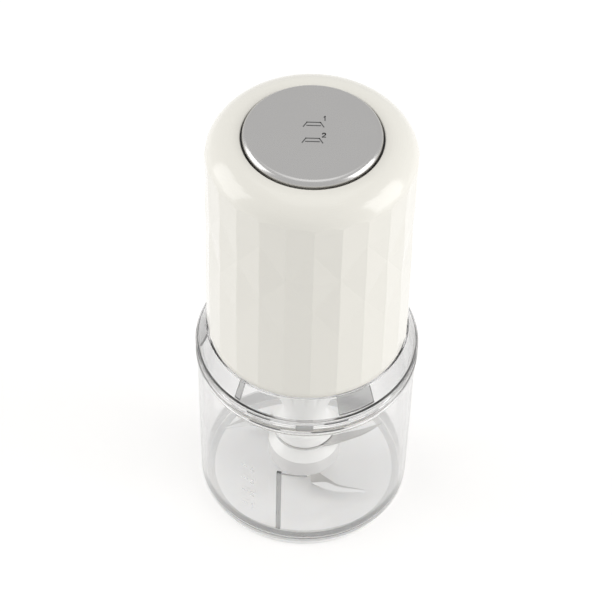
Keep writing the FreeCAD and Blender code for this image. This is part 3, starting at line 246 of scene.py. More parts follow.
def clearPlastic(name, settings):    # glass to the eye, a light tint to shadows and soft light
    shading = {"IOR": settings["ior"], "Transmission Weight": 1.0, "Specular IOR Level": 0.5}
    material, tree, shader = startMaterial(name, shading)
    values = {"Tone": settings["tone"], "Second Tone": settings["second"], "Scale": clearScale,
              "Gloss": settings["gloss"], "Gloss Spread": settings["spread"]}
    useEffect(tree, shader, mouldedSkin, values, settings["bump"], skinDepth)
    if "zones" in settings:    # a clear floor, a round corner tone (painted shade on the bowl) and a frosted flat top
        limits = {key: value * mm for key, value in settings["zones"].items()}
        zones = addNode(tree, "ShaderNodeGroup", limits, node_tree=heightZones).outputs
        drift, gloss = [shader.inputs[key].links[0].from_socket for key in ("Base Color", "Roughness")]
        facing = addNode(tree, "ShaderNodeLayerWeight").outputs["Facing"]
        beyond = mathNode(tree, "SUBTRACT", facing, settings["edgeFrom"])
        share = mathNode(tree, "DIVIDE", beyond, settings["edgeRun"])
        drift = mixColour(tree, share, drift, settings["edgeTone"])    # deeper where it is seen edge on
        # painted shade: outside the floor's radius and below the zone height the wall takes the corner tone
        low = mixColour(tree, zones["Inside"], settings["cornerTone"], settings["floorTone"])
        frost = mathNode(tree, "MULTIPLY", zones["Frost"], settings["frost"])
        feed(tree, shader, {"Base Color": mixColour(tree, zones["Below"], drift, low),
                            "Roughness": mathNode(tree, "MAXIMUM", gloss, frost)})
    see = addNode(tree, "ShaderNodeBsdfTransparent", {"Color": settings["shade"]}).outputs[0]
    path = addNode(tree, "ShaderNodeLightPath").outputs
    through = mathNode(tree, "MAXIMUM", path["Is Shadow Ray"], path["Is Diffuse Ray"])
    blend = addNode(tree, "ShaderNodeMixShader", {0: through, 1: shader.outputs[0], 2: see})
    feed(tree, tree.nodes["Material Output"], {"Surface": blend.outputs[0]})
    return material


bowlClear = {"ior": 1.49, "tone": tone(0.984), "second": tone(0.976), "gloss": 0.02, "spread": 0.03,
             "bump": 0.03, "shade": tone(0.97)}
# painted shade: the bowl's round corner is tinted dark grey for the shade seen through it
bowlZones = {"floorTone": tone(1.0), "cornerTone": tone(0.54), "frost": 0.0, "edgeTone": tone(0.86),
             "edgeFrom": 0.4, "edgeRun": 0.45, "zones": {"Radius": 48.0, "Height": 13.5}}
lidClear = {**bowlClear, "tone": tone(0.985), "second": tone(0.975), "floorTone": tone(0.99),
            "cornerTone": tone(0.99), "frost": 0.4, "edgeTone": tone(0.7), "edgeFrom": 0.06, "edgeRun": 0.3,
            "zones": {"Radius": 1.0, "Height": 105.0, "Frost Height": 116.9, "Frost Radius": 50.8}}
ribClear = {**bowlClear, "tone": tone(0.46), "second": tone(0.41), "gloss": 0.12, "shade": tone(0.6)}
rampClear = {**bowlClear, "tone": tone(0.62), "second": tone(0.58), "gloss": 0.16, "shade": tone(0.85)}
casingCoat = {"Coat Weight": 0.3, "Coat Roughness": 0.08}
softInside = {"Subsurface Weight": 0.3, "Subsurface Radius": (0.004, 0.0035, 0.003)}
plateGrain = (1800.0, 1800.0, 200.0)
woundWire = {"Metallic": 0.8, "Roughness": 0.35, "Coat Weight": 0.4}

looks = {
    "clear_plastic": clearPlastic("bowlPolycarbonate", {**bowlClear, **bowlZones}),
    "lid_clear_plastic": clearPlastic("lidPolycarbonate", lidClear),
    "body_plastic": plastic("casingGlossWhite", (0.83, 0.81, 0.745, 1), (0.80, 0.78, 0.715, 1), 0.16, 9.0,
                            0.03, 0.05, **casingCoat),
    "hub_plastic": plastic("hubWhite", (0.94, 0.935, 0.915, 1), (0.92, 0.915, 0.895, 1), 0.3, 30.0,
                           0.06, 0.1),
    "base_rubber": plastic("baseSoftWhite", (0.96, 0.955, 0.945, 1), (0.94, 0.935, 0.925, 1), 0.5, 60.0,
                           0.1, 0.3, **softInside),
    "seal_silicone": plastic("sealSilicone", tone(0.76, 0.03), tone(0.70, 0.03), 0.45, 60.0),
    "gear_nylon": plastic("gearNylon", (0.74, 0.72, 0.64, 1), (0.68, 0.66, 0.58, 1), 0.42, 90.0),
    "grey_plastic": plastic("innerGreyMoulding", tone(0.10), tone(0.075), 0.5, 60.0, 0.12, 0.4),
    "carbon": plastic("carbonBlack", tone(0.02), tone(0.035), 0.55, 120.0, 0.2, 0.5),
    "gland_rubber": plastic("glandRubber", tone(0.42, 0.06), tone(0.36, 0.06), 0.6, 90.0, 0.1, 0.4),
    "board_green": plastic("boardGreen", (0.02, 0.12, 0.05, 1), (0.03, 0.16, 0.07, 1), 0.35, 160.0),
    "capacitor_yellow": plastic("capacitorYellow", (0.62, 0.45, 0.07, 1), (0.56, 0.4, 0.06, 1), 0.3, 80.0),
    "polished_steel": metal("pinPolishedSteel", tone(0.62), tone(0.55), 0.12, (2400.0, 2400.0, 30.0)),
    "blade_steel": metal("bladeSteel", tone(0.68, 0.03), tone(0.6, 0.03), 0.3, (90.0, 1500.0, 900.0)),
    "button_metal": metal("plateSatinSilver", tone(0.59, 0.03), tone(0.52, 0.03), 0.26, plateGrain, 0.1,
                          0.04),
    "gear_steel": metal("turnedSteel", tone(0.5), tone(0.4), 0.3, (1800.0, 1800.0, 3000.0)),
    "screw_steel": metal("zincPlated", tone(0.55), tone(0.45), 0.35, (900.0, 900.0, 900.0)),
    "spring_steel": metal("springWire", tone(0.5), tone(0.42), 0.3, (1500.0, 1500.0, 1500.0)),
    "bush_brass": metal("bushBrass", (0.62, 0.44, 0.18, 1), (0.52, 0.36, 0.14, 1), 0.32,
                        (900.0, 900.0, 2000.0)),
    "core_steel": striped("stackedSheets", tone(0.32), tone(0.08), (0, 0, 1), 1400.0,
                          {"Metallic": 0.9, "Roughness": 0.45}),
    "copper_wire": striped("varnishedCopper", (0.62, 0.24, 0.09, 1), (0.25, 0.08, 0.03, 1), (0.7, 0.7, 0.2),
                           1300.0, woundWire),
}
# the rib and its mark inside the bowl are drawn in a dark tint
ribLook = clearPlastic("bowlRibDark", ribClear)
# painted shade: a darker tone for the side of the hub's skirt, which lies in shade
skirtShadeLook = plastic("hubSkirtPaintedShade", tone(0.72, 0.03), tone(0.69, 0.03), 0.36, 30.0, 0.06, 0.1)
# partly painted highlight: the ground edge is a lighter, mostly unmetallic steel, for its ground finish and
# for the bright highlight along it
groundHighlightLook = metal("bladeGroundEdgeHighlight", tone(0.96), tone(0.93), 0.4, (90.0, 1500.0, 900.0), Metallic=0.25)
rampLook = clearPlastic("lidRampClear", rampClear)
inkLook = plastic("printedInk", tone(0.07), tone(0.09), 0.5, 200.0)
tabLook = clearPlastic("tabFrosted", {**rampClear, "tone": tone(0.78), "second": tone(0.72), "gloss": 0.3})
# painted shade: near black lugs stand for the dark lines refracted in the clear band
lugShadeLook = plastic("lugPaintedShade", tone(0.11), tone(0.15), 0.25, 90.0)
markLook = plastic("mouldedMarks", tone(0.9), tone(0.85), 0.4, 200.0, **{"Alpha": 0.3})
print("materials made:", len(looks) + 8)


def dressNodes():
    slotOf = {item["node"]: item["material_slot"] for item in frame["record"]["subparts"]}
    for name, node in frame["nodes"].items():
        node.data.materials.clear()
        node.data.materials.append(looks[slotOf[name]])


dressNodes()
print("frame nodes dressed")


smoothLimit = 40.0    # degrees between faces that still shade as one


def addPiece(name, shape, body, slotName, nodes=(), look=None, smooth=True):
    verts, faces = shape
    mesh = bpy.data.meshes.new(name)
    mesh.from_pydata([tuple(v) for v in verts], [], faces)
    mesh.validate()
    build = bmesh.new()
    build.from_mesh(mesh)
    bmesh.ops.recalc_face_normals(build, faces=build.faces)
    build.to_mesh(mesh)
    build.free()
    mesh.polygons.foreach_set("use_smooth", [smooth] * len(mesh.polygons))
    if smooth:
        mesh.set_sharp_from_angle(angle=math.radians(smoothLimit))
    mesh.materials.append(look or looks[slotName])
    piece = newObject(name, mesh)
    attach(piece, body)
    if nodes:
        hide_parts(*nodes)
    return piece


bendSupport = 0.03    # flat faces keep their own direction up to this close to a bend


def bendCorners(points, steps=7):    # (r, z, bend) corners of a closed outline become a smooth line
    line = []
    count = len(points)
    for index, (r, z, bend) in enumerate(points):
        here = Vector((r, z))
        if bend <= 0:
            line.append(here)
            continue
        before = (Vector(points[index - 1][:2]) - here)
        after = (Vector(points[(index + 1) % count][:2]) - here)
        half = before.angle(after) / 2
        room = min(before.length, after.length) / 2 - bendSupport
        reach = min(bend / math.tan(half), room)
        radius = reach * math.tan(half)
        start = here + before.normalized() * reach
        end = here + after.normalized() * reach
        centre = here + (before.normalized() + after.normalized()).normalized() * (radius / math.sin(half))
        first = math.atan2(start.y - centre.y, start.x - centre.x)
        sweep = math.atan2(end.y - centre.y, end.x - centre.x) - first
        sweep = (sweep + math.pi) % (2 * math.pi) - math.pi
        parts = max(2, round(steps * abs(sweep) / (math.pi / 2)) + 1)
        line.append(start + before.normalized() * bendSupport)
        for part in range(parts + 1):
            angle = first + sweep * part / parts
            line.append(centre + Vector((math.cos(angle), math.sin(angle))) * radius)
        line.append(end + after.normalized() * bendSupport)
    return line


def polarMm(reach, angle, z):
    return reach * math.cos(angle) * mm, reach * math.sin(angle) * mm, z * mm


def turnLine(line, sides, reachAt=None):    # turns a closed line about the upright axis
    verts, faces, rows = [], [], []
    for point in line:
        if point.x < 1e-6:
            rows.append([len(verts)])
            verts.append((0, 0, point.y * mm))
            continue
        rows.append(list(range(len(verts), len(verts) + sides)))
        for side in range(sides):
            angle = 2 * math.pi * side / sides
            reach = reachAt(point.x, point.y, angle) if reachAt else point.x
            verts.append(polarMm(reach, angle, point.y))
    for index, row in enumerate(rows):
        following = rows[(index + 1) % len(rows)]
        if len(row) == 1 and len(following) == 1:
            continue
        for side in range(sides):
            after = (side + 1) % sides
            if len(row) == 1:
                faces.append((row[0], following[after], following[side]))
            elif len(following) == 1:
                faces.append((row[side], row[after], following[0]))
            else:
                faces.append((row[side], row[after], following[after], following[side]))
    return verts, faces


def boxMm(node):
    low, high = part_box(node)
    return low / mm, high / mm


baseSettings = {"floor": 2.0, "corner": 9.3, "cornerCentre": 46.2, "cornerRise": 11.0, "chamfer": 1.0,
                "foot": 45.0, "recess": 0.5, "air": 0.02, "steps": 7, "sides": 256}


def makeBase(settings):
    low, high = boxMm("non_slip_base")
    outer, top = high.x, high.z
    middle, floor, steps = settings["cornerCentre"], settings["floor"], settings["steps"]
    foot, recess, chamfer = settings["foot"], settings["recess"], settings["chamfer"]

    def insideAt(z):    # the base hugs the round corner of the bowl
        return middle + math.sqrt(settings["corner"] ** 2 - (settings["cornerRise"] - z) ** 2)

    points = [(0, recess, 0), (foot, recess, 0.3), (foot + recess, 0, 0.2), (outer - chamfer, 0, 0.3),
              (outer, chamfer, 0.6), (outer, top, 0.3), (insideAt(top), top, 0.15)]
    for step in range(1, steps):
        z = top + (floor - top) * step / steps
        points.append((insideAt(z), z, 0))
    points += [(middle, floor - settings["air"], 0), (0, floor - settings["air"], 0)]
    shape = turnLine(bendCorners(points), settings["sides"])
    addPiece("nonSlipBase", shape, "base", "base_rubber", ["non_slip_base"])


makeBase(baseSettings)


bowlSettings = {"corner": 9.0, "wall": 2.4, "floor": 3.0, "foot": 55.2, "boss": 7.5, "bossRise": 1.5,
                "pinHole": 3.56, "pinSeat": 1.0, "lip": 0.7, "sides": 256, "air": 0.06,
                "ribTurn": -103.4, "ribWidth": 2.4, "ribDepth": 1.5, "ribFoot": 10.3, "ribLength": 47.9,
                "markDepth": 0.65, "markHeight": 0.7, "markSpan": 15.5, "soften": 0.15}
scaleSettings = {"turn": -124.5, "low": 27.0, "step": 10.5, "count": 4, "long": 3.6, "thick": 0.45,
                 "numeralTurn": -118.0, "numeralHeight": 3.6, "stroke": 0.4, "rise": 0.12, "air": 0.02}


def ringWalls(count, parts):    # faces between rings of points that follow one another
    faces = []
    for first in range(0, parts * count, count):
        for side in range(count):
            p, q = first + side, first + (side + 1) % count
            faces.append((p, q, q + count, p + count))
    return faces


def ringEnds(count, parts):
    return [tuple(reversed(range(count))), tuple(parts * count + side for side in range(count))]


def sweepBlock(corners, fromTurn, toTurn, parts):    # a closed (r, z) outline swept about the axis
    verts = []
    count = len(corners)
    for part in range(parts + 1):
        angle = math.radians(fromTurn + (toTurn - fromTurn) * part / parts)
        verts += [polarMm(r, angle, z) for r, z in corners]
    return verts, ringWalls(count, parts) + ringEnds(count, parts)


def arcBlock(inner, outer, low, high, fromTurn, toTurn, parts):
    return sweepBlock([(inner, low), (outer, low), (outer, high), (inner, high)], fromTurn, toTurn, parts)


def joinParts(parts):
    verts, faces = [], []
    for moreVerts, moreFaces in parts:
        start = len(verts)
        verts += moreVerts
        faces += [tuple(i + start for i in face) for face in moreFaces]
    return verts, faces


def softenEdges(piece, width, segments=2, angle=30.0):
    bevel = piece.modifiers.new("softEdges", "BEVEL")
    bevel.width = width * mm
    bevel.segments = segments
    bevel.limit_method = "ANGLE"
    bevel.angle_limit = math.radians(angle)


def makeBowl(settings):
    low, high = boxMm("bowl")
    rim = high.x
    foot = settings["foot"]
    base = low.z + settings["air"] / 2
    top = high.z - settings["air"]
    wall = settings["wall"]
    cornerTop = low.z + settings["corner"]
    floor = low.z + settings["floor"]
    hole = settings["pinHole"]
    seat = low.z + settings["pinSeat"]
    bossTop = floor + settings["bossRise"]
    points = [(0, base, 0), (foot, base, settings["corner"]), (foot, cornerTop + 0.1, 0),
              (rim, top, settings["lip"]), (rim - wall, top, settings["lip"]), (foot - wall, cornerTop, 0),
              (foot - wall, floor, settings["corner"] - settings["floor"]), (settings["boss"], floor, 0.6),
              (settings["boss"], bossTop, 0.4), (hole, bossTop, 0.2), (hole, seat, 0), (0, seat, 0)]
    shape = turnLine(bendCorners(points, 12), settings["sides"])
    addPiece("bowlShell", shape, "bowl", "clear_plastic", ["bowl"])

    def wallAt(z):    # inner radius of the wall at this height
        return foot - wall + (rim - foot) * (z - cornerTop) / (top - cornerTop)

    ribLow = low.z + settings["ribFoot"]
    ribHigh = ribLow + settings["ribLength"]
    inner = wallAt(ribLow) - settings["air"]
    halfTurn = math.degrees(settings["ribWidth"] / 2 / inner)
    turn = settings["ribTurn"]
    ribInner = inner - settings["ribDepth"]
    markInner = inner - settings["markDepth"]
    markLow = ribHigh - settings["markHeight"]
    parts = [arcBlock(ribInner, inner, ribLow, ribHigh, turn - halfTurn, turn + halfTurn, 3),
             arcBlock(markInner, inner, markLow, ribHigh, turn + halfTurn, turn + settings["markSpan"], 10)]
    rib = addPiece("bowlRib", joinParts(parts), "bowl", "clear_plastic", look=ribLook, smooth=False)
    softenEdges(rib, settings["soften"])
    return lambda z: wallAt(z) + wall


def flatStroke(points, width, low, high):    # strokes of even width, points in mm
    verts, faces = [], []
    for (x0, y0), (x1, y1) in zip(points, points[1:]):
        along = Vector((x1 - x0, y1 - y0)).normalized() * width / 2
        side = Vector((-along.y, along.x))
        start, end = Vector((x0, y0)) - along, Vector((x1, y1)) + along
        first = len(verts)
        corners = (start - side, end - side, end + side, start + side)
        for z in (low, high):
            verts += [(c.x * mm, c.y * mm, z * mm) for c in corners]
        faces += [tuple(first + i for i in f) for f in
                  ((3, 2, 1, 0), (4, 5, 6, 7), (0, 1, 5, 4), (1, 2, 6, 5), (2, 3, 7, 6), (3, 0, 4, 7))]
    return verts, faces


def numeral(which, x, y, tall):    # plain strokes for the numbers 1 to 4
    def arc(cx, cy, r, first, last, steps=8):
        angles = [math.radians(first + (last - first) * step / steps) for step in range(steps + 1)]
        return [(cx + r * math.cos(a), cy + r * math.sin(a)) for a in angles]

    r = tall * 0.27
    if which == 1:
        return [[(x - r * 0.6, y + tall * 0.78), (x, y + tall), (x, y)]]
    if which == 2:
        return [arc(x, y + tall - r, r, 175, -40) + [(x - r, y), (x + r, y)]]
    if which == 3:
        return [arc(x, y + tall - r * 0.95, r * 0.95, 160, -80), arc(x, y + r, r, 80, -160)]
    bar = y + tall * 0.3
    return [[(x + r * 0.5, y), (x + r * 0.5, y + tall), (x - r, bar), (x + r * 1.1, bar)]]


def makeScale(settings, outsideAt):    # faint moulded ticks with plain numbers on the outside of the wall
    parts = []
    for step in range(settings["count"]):
        z = settings["low"] + step * settings["step"]
        reach = outsideAt(z) + settings["air"]
        start = settings["turn"]
        parts.append(arcBlock(reach, reach + settings["rise"], z, z + settings["thick"], start,
                              start + settings["long"], 3))
        for line in numeral(step + 1, 0, 0, settings["numeralHeight"]):
            verts, faces = flatStroke(line, settings["stroke"], 0.0, settings["rise"])
            wrapped = []
            for x, y, rise in verts:
                angle = math.radians(settings["numeralTurn"]) + x / mm / reach
                out = reach * mm + rise
                up = (z - settings["numeralHeight"] / 2) * mm + y
                wrapped.append((out * math.cos(angle), out * math.sin(angle), up))
            parts.append((wrapped, faces))
    addPiece("bowlMeasure", joinParts(parts), "bowl", "clear_plastic", look=markLook, smooth=False)


makeScale(scaleSettings, makeBowl(bowlSettings))


lidSettings = {"band": 7.6, "collar": 56.3, "collarTop": 51.6, "wall": 2.2, "flange": 2.4, "hole": 24.0,
               "skirt": 6.0, "skirtWall": 2.2, "skirtGap": 3.2, "groove": 1.0, "grooveDrop": 1.6,
               "grooveHeight": 2.4, "lip": 0.5, "bandInset": 0.2, "bandGroove": 0.3, "grooveLow": -1.3,
               "grooveRise": 1.7, "sides": 256, "air": 0.05}
front = -90.0    # the front faces -Y
tabSettings = {"width": 9.0, "rise": 1.8, "height": 4.0, "reach": 0.18, "ribs": 6, "plate": 0.08,
               "air": 0.02, "margin": 0.2}
rampSettings = {"drop": 2.6, "height": 9.4, "depth": 1.6, "sink": 0.05, "soften": 0.3,
                "spans": [(-71.5, 21.0), (48.5, 21.0), (168.5, 21.0), (-130.5, 3.5)]}
lugSettings = {"reach": 0.14, "sink": 0.02, "upper": (105.3, 1.0), "lower": (99.55, 0.9),
               "upperSpans": [(-120.5, 13.0), (-80.0, 12.5)], "lowerSpans": [(-119.0, 17.0), (-86.5, 17.0)]}


def makeLid(settings):
    low, high = boxMm("bowl_lid")
    rim = high.x - settings["bandInset"]
    collar, wall, air = settings["collar"], settings["wall"], settings["air"]
    skirtOuter = collar - settings["skirtGap"]
    foot = low.z + settings["skirt"]
    bandTop = foot + settings["band"]
    top = high.z - air
    grooveTop = foot - settings["grooveDrop"]
    grooveFoot = grooveTop - settings["grooveHeight"]
    grooveIn = skirtOuter - settings["groove"]
    middle = (foot + bandTop) / 2
    dip = rim - settings["bandGroove"]
    dipLow, dipHigh = middle + settings["grooveLow"], middle + settings["grooveRise"]
    inner = skirtOuter - settings["skirtWall"]
    hole, roof = settings["hole"], settings["collarTop"]
    points = [(rim, foot + air, settings["lip"]), (rim, dipLow, 0.4), (dip, dipLow + 0.4, 0.4),
              (dip, dipHigh, 0.4), (rim, dipHigh + 0.4, 0.4), (rim, bandTop, settings["lip"]),
              (collar, bandTop, 0.3), (roof, top, 0.6), (hole, top, 0.3), (hole, top - wall, 0.3),
              (roof - wall, top - wall, 0.8), (collar - wall, bandTop, 0.5),
              (collar - wall, foot + settings["flange"], 0.5), (inner, foot + settings["flange"], 0.4),
              (inner, low.z, 0.4), (skirtOuter, low.z, 0.4), (skirtOuter, grooveFoot, 0.1),
              (grooveIn, grooveFoot, 0.1), (grooveIn, grooveTop, 0.1), (skirtOuter, grooveTop, 0.1),
              (skirtOuter, foot + air, 0.1)]
    shape = turnLine(bendCorners(points, 6), settings["sides"])
    addPiece("lidShell", shape, "lid", "lid_clear_plastic", ["bowl_lid"])

    def insideAt(z):    # inner radius of the sloping collar
        return collar - wall - (collar - roof) * (z - bandTop) / (top - wall - bandTop)

    return rim, foot, top, insideAt


def makeTab(settings, rim, foot):    # the ribbed thumb tab at the front of the band
    half = math.degrees(settings["width"] / 2 / rim)
    pitch = 2 * half / settings["ribs"]
    low = foot + settings["rise"]
    high = low + settings["height"]
    plate = rim + settings["plate"]
    margin = settings["margin"]
    parts = [arcBlock(rim + settings["air"], plate, low, high, front - half, front + half, 6)]
    for rib in range(settings["ribs"]):
        start = front - half + (rib + margin) * pitch
        parts.append(arcBlock(plate, rim + settings["reach"], low + margin, high - margin, start,
                              start + pitch / 2, 1))
    addPiece("lidTab", joinParts(parts), "lid", "lid_clear_plastic", look=tabLook, smooth=False)


def makeRamps(settings, top, insideAt):    # raised ramps on the inside of the collar
    parts = []
    high = top - settings["drop"]
    low = high - settings["height"]
    depth, sink = settings["depth"], settings["sink"]
    corners = [(insideAt(low) - depth, low), (insideAt(low) - sink, low), (insideAt(high) - sink, high),
               (insideAt(high) - depth, high)]
    for turn, span in settings["spans"]:
        parts.append(sweepBlock(corners, turn, turn + span, 12))
    ramps = addPiece("lidRamps", joinParts(parts), "lid", "lid_clear_plastic", look=rampLook, smooth=False)
    softenEdges(ramps, settings["soften"])


def makeLugs(settings, rim):    # thin lugs on the band's upper and lower edges, drawn near black as painted shade for the dark lines the band shows by refraction
    parts = []
    for level, spans in (("upper", "upperSpans"), ("lower", "lowerSpans")):
        z, tall = settings[level]
        for turn, span in settings[spans]:
            parts.append(arcBlock(rim + settings["sink"], rim + settings["reach"], z, z + tall, turn,
                                  turn + span, 12))
    addPiece("bandLugs", joinParts(parts), "lid", "lid_clear_plastic", look=lugShadeLook, smooth=False)


lidRim, lidFoot, lidTop, collarInside = makeLid(lidSettings)
makeTab(tabSettings, lidRim, lidFoot)
makeRamps(rampSettings, lidTop, collarInside)
makeLugs(lugSettings, lidRim)
print("clear pieces made")


casingSettings = {"radius": 51.2, "margin": 0.4, "facets": 24, "turn": 2.5, "start": 43.0, "row": 19.5,
                  "rows": 3, "dent": 0.55, "wall": 2.6, "bend": 15.0, "run": 1.5, "mouth": 34.3,
                  "mouthLip": 0.5, "parts": 12, "shoulderFrom": 22.0, "shoulderSteps": 14, "soften": 0.3,
                  "sharp": 0.4, "boreSteps": 8, "roundFrom": 0.1}


def stripReach(settings, turn):    # how far out the flat strips lie in this direction
    step = 2 * math.pi / settings["facets"]
    part = (turn / step) % 1.0
    return settings["radius"] * math.cos(step / 2) / math.cos((part - 0.5) * step)


def stripFaces(rows, level, count):    # two triangles per strip, folded the other way next door
    faces = []
    for column in range(count):
        after = (column + 1) % count
        a, b = rows[level][column], rows[level][after]
        c, d = rows[level + 1][after], rows[level + 1][column]
        if level == 0:
            faces.append((a, b, c, d))
        elif (level + column) % 2 == 0:
            faces += [(a, b, c), (a, c, d)]
        else:
            faces += [(a, b, d), (b, c, d)]
    return faces


def makeCasing(settings):
    low, high = boxMm("outer_shell")
    count, parts, radius = settings["facets"], settings["parts"], settings["radius"]
    foot, top, bend, wall = low.z, high.z, settings["bend"], settings["wall"]
    centreR = radius + settings["margin"] - bend
    centreZ = top - bend
    facetTop = centreZ + settings["run"]
    fine = count * parts
    verts, faces = [], []

    def at(reach, side, z):
        angle = 2 * math.pi * side / fine + math.radians(settings["turn"])
        verts.append(polarMm(reach, angle, z))
        return len(verts) - 1

    start = foot + settings["start"]
    levels = [foot, start] + [start + settings["row"] * row for row in range(1, settings["rows"] + 1)]
    rows = []
    for level, z in enumerate(levels):
        ring = []
        for column in range(count):
            dented = level > 1 and (level + column) % 2 == 0
            reach = radius - settings["dent"] if dented else radius
            ring.append(at(reach, column * parts, z))
        rows.append(ring)
    for level in range(len(rows) - 1):
        faces += stripFaces(rows, level, count)
    flats = [stripReach(settings, 2 * math.pi * side / fine) for side in range(fine)]
    edge = [at(flats[side], side, facetTop) for side in range(fine)]
    for column in range(count):
        a, b = rows[-1][column], rows[-1][(column + 1) % count]
        across = [edge[(column * parts + part) % fine] for part in range(parts, -1, -1)]
        faces.append((a, b, *across))
    crest = [at(reach, side, centreZ + math.sqrt(bend ** 2 - (reach - centreR) ** 2))
             for side, reach in enumerate(flats)]    # where each strip runs out on the round shoulder
    rings = [edge, crest]
    begin = math.radians(settings["shoulderFrom"])
    steps = settings["shoulderSteps"]
    for step in range(steps + 1):
        lean = begin + (math.pi / 2 - begin) * step / steps
        rings.append([at(centreR + bend * math.cos(lean), side, centreZ + bend * math.sin(lean))
                      for side in range(fine)])
    mouth, lip, inBend = settings["mouth"], settings["mouthLip"], bend - wall
    lineIn = [(mouth + lip, top), (mouth + lip * 0.3, top - lip * 0.3), (mouth, top - lip),
              (mouth, top - wall), (centreR, top - wall)]
    for step in range(1, settings["boreSteps"] + 1):
        lean = math.pi / 2 * step / settings["boreSteps"]
        lineIn.append((centreR + inBend * math.sin(lean), centreZ + inBend * math.cos(lean)))
    lineIn.append((radius - wall, foot))
    for r, z in lineIn:
        rings.append([at(r, side, z) for side in range(fine)])
    for lower, upper in zip(rings, rings[1:]):
        for side in range(fine):
            after = (side + 1) % fine
            faces.append((lower[side], lower[after], upper[after], upper[side]))
    for column in range(count):    # the foot ring between the strips and the bore
        across = [rings[-1][(column * parts + part) % fine] for part in range(parts + 1)]
        faces.append((rows[0][(column + 1) % count], rows[0][column], *across))
    piece = addPiece("casing", (verts, faces), "power_unit", "body_plastic", ["outer_shell"])
    piece.data.set_sharp_from_angle(angle=math.radians(settings["sharp"]))
    for face in piece.data.polygons:    # the strips are flat, the shoulder and the bore are round
        face.use_smooth = face.center.z > (facetTop + settings["roundFrom"]) * mm
    softenEdges(piece, settings["soften"], 3, 8.0)


makeCasing(casingSettings)
print("casing made")


plateSettings = {"edge": 3.0, "wall": 1.2, "air": 0.06, "sides": 256}


def makePlate(settings):
    low, high = boxMm("press_plate")
    r, top, foot = high.x, high.z - settings["air"], low.z
    wall = settings["wall"]
    points = [(r - wall, foot, 0.2), (r, foot, 0.3), (r, top, settings["edge"]), (0, top, 0),
              (0, top - wall, 0), (r - wall, top - wall, settings["edge"] - wall)]
    shape = turnLine(bendCorners(points, 14), settings["sides"])
    addPiece("pressPlate", shape, "button", "button_metal", ["press_plate"])
    return top


signSettings = {"stroke": 0.55, "capWidth": 9.6, "capTop": 6.4, "capHeight": 2.9, "barRise": 0.75,
                "lift": 0.005, "numeralHeight": 2.6,
                "signs": [(1, 0.3, 5.2, 5.6, 8.2), (2, 0.0, -5.4, 5.3, -3.0)]}


def makeSigns(settings, top):    # a plain press icon and a number for each of the two speeds
    high = boxMm("press_plate")[1].z
    low, stroke = top + settings["lift"], settings["stroke"]
    half, crown, tall = settings["capWidth"] / 2, settings["capTop"] / 2, settings["capHeight"]
    parts = []
    for which, x, y, numberX, numberY in settings["signs"]:
        foot = y - tall / 2
        bar = foot + settings["barRise"]
        cap = [(x - half, foot), (x - crown, foot + tall), (x + crown, foot + tall), (x + half, foot)]
        parts.append(flatStroke(cap, stroke, low, high))
        parts.append(flatStroke([(x - crown, bar), (x + crown, bar)], stroke, low, high))
        for line in numeral(which, numberX, numberY, settings["numeralHeight"]):
            parts.append(flatStroke(line, stroke, low, high))
    addPiece("speedSigns", joinParts(parts), "button", "button_metal", look=inkLook, smooth=False)


makeSigns(signSettings, makePlate(plateSettings))
print("button made")


hubSettings = {"foot": 6.5, "core": 12.0, "skirtFoot": 16.5, "skirt": 19.0, "skirtTop": 27.0,
               "shoulder": 14.5, "shoulderTop": 31.5, "blade": 34.9, "bladeTop": 36.1, "neck": 8.6,
               "flange": 16.4, "flangeIn": 15.7, "flangeTop": 45.1, "waist": 10.5, "waistZ": 55.1,
               "column": 15.0, "columnZ": 75.1, "flutes": 16, "fluteDepth": 0.8, "fluteFade": 8.0,
               "bore": 5.6, "socket": 9.99, "socketDepth": 9.6, "air": 0.05, "sides": 192,
               "waistLip": 1.0, "flangeRise": 1.5, "fluteMargin": 1.2, "shadeBandMargin": 0.4}


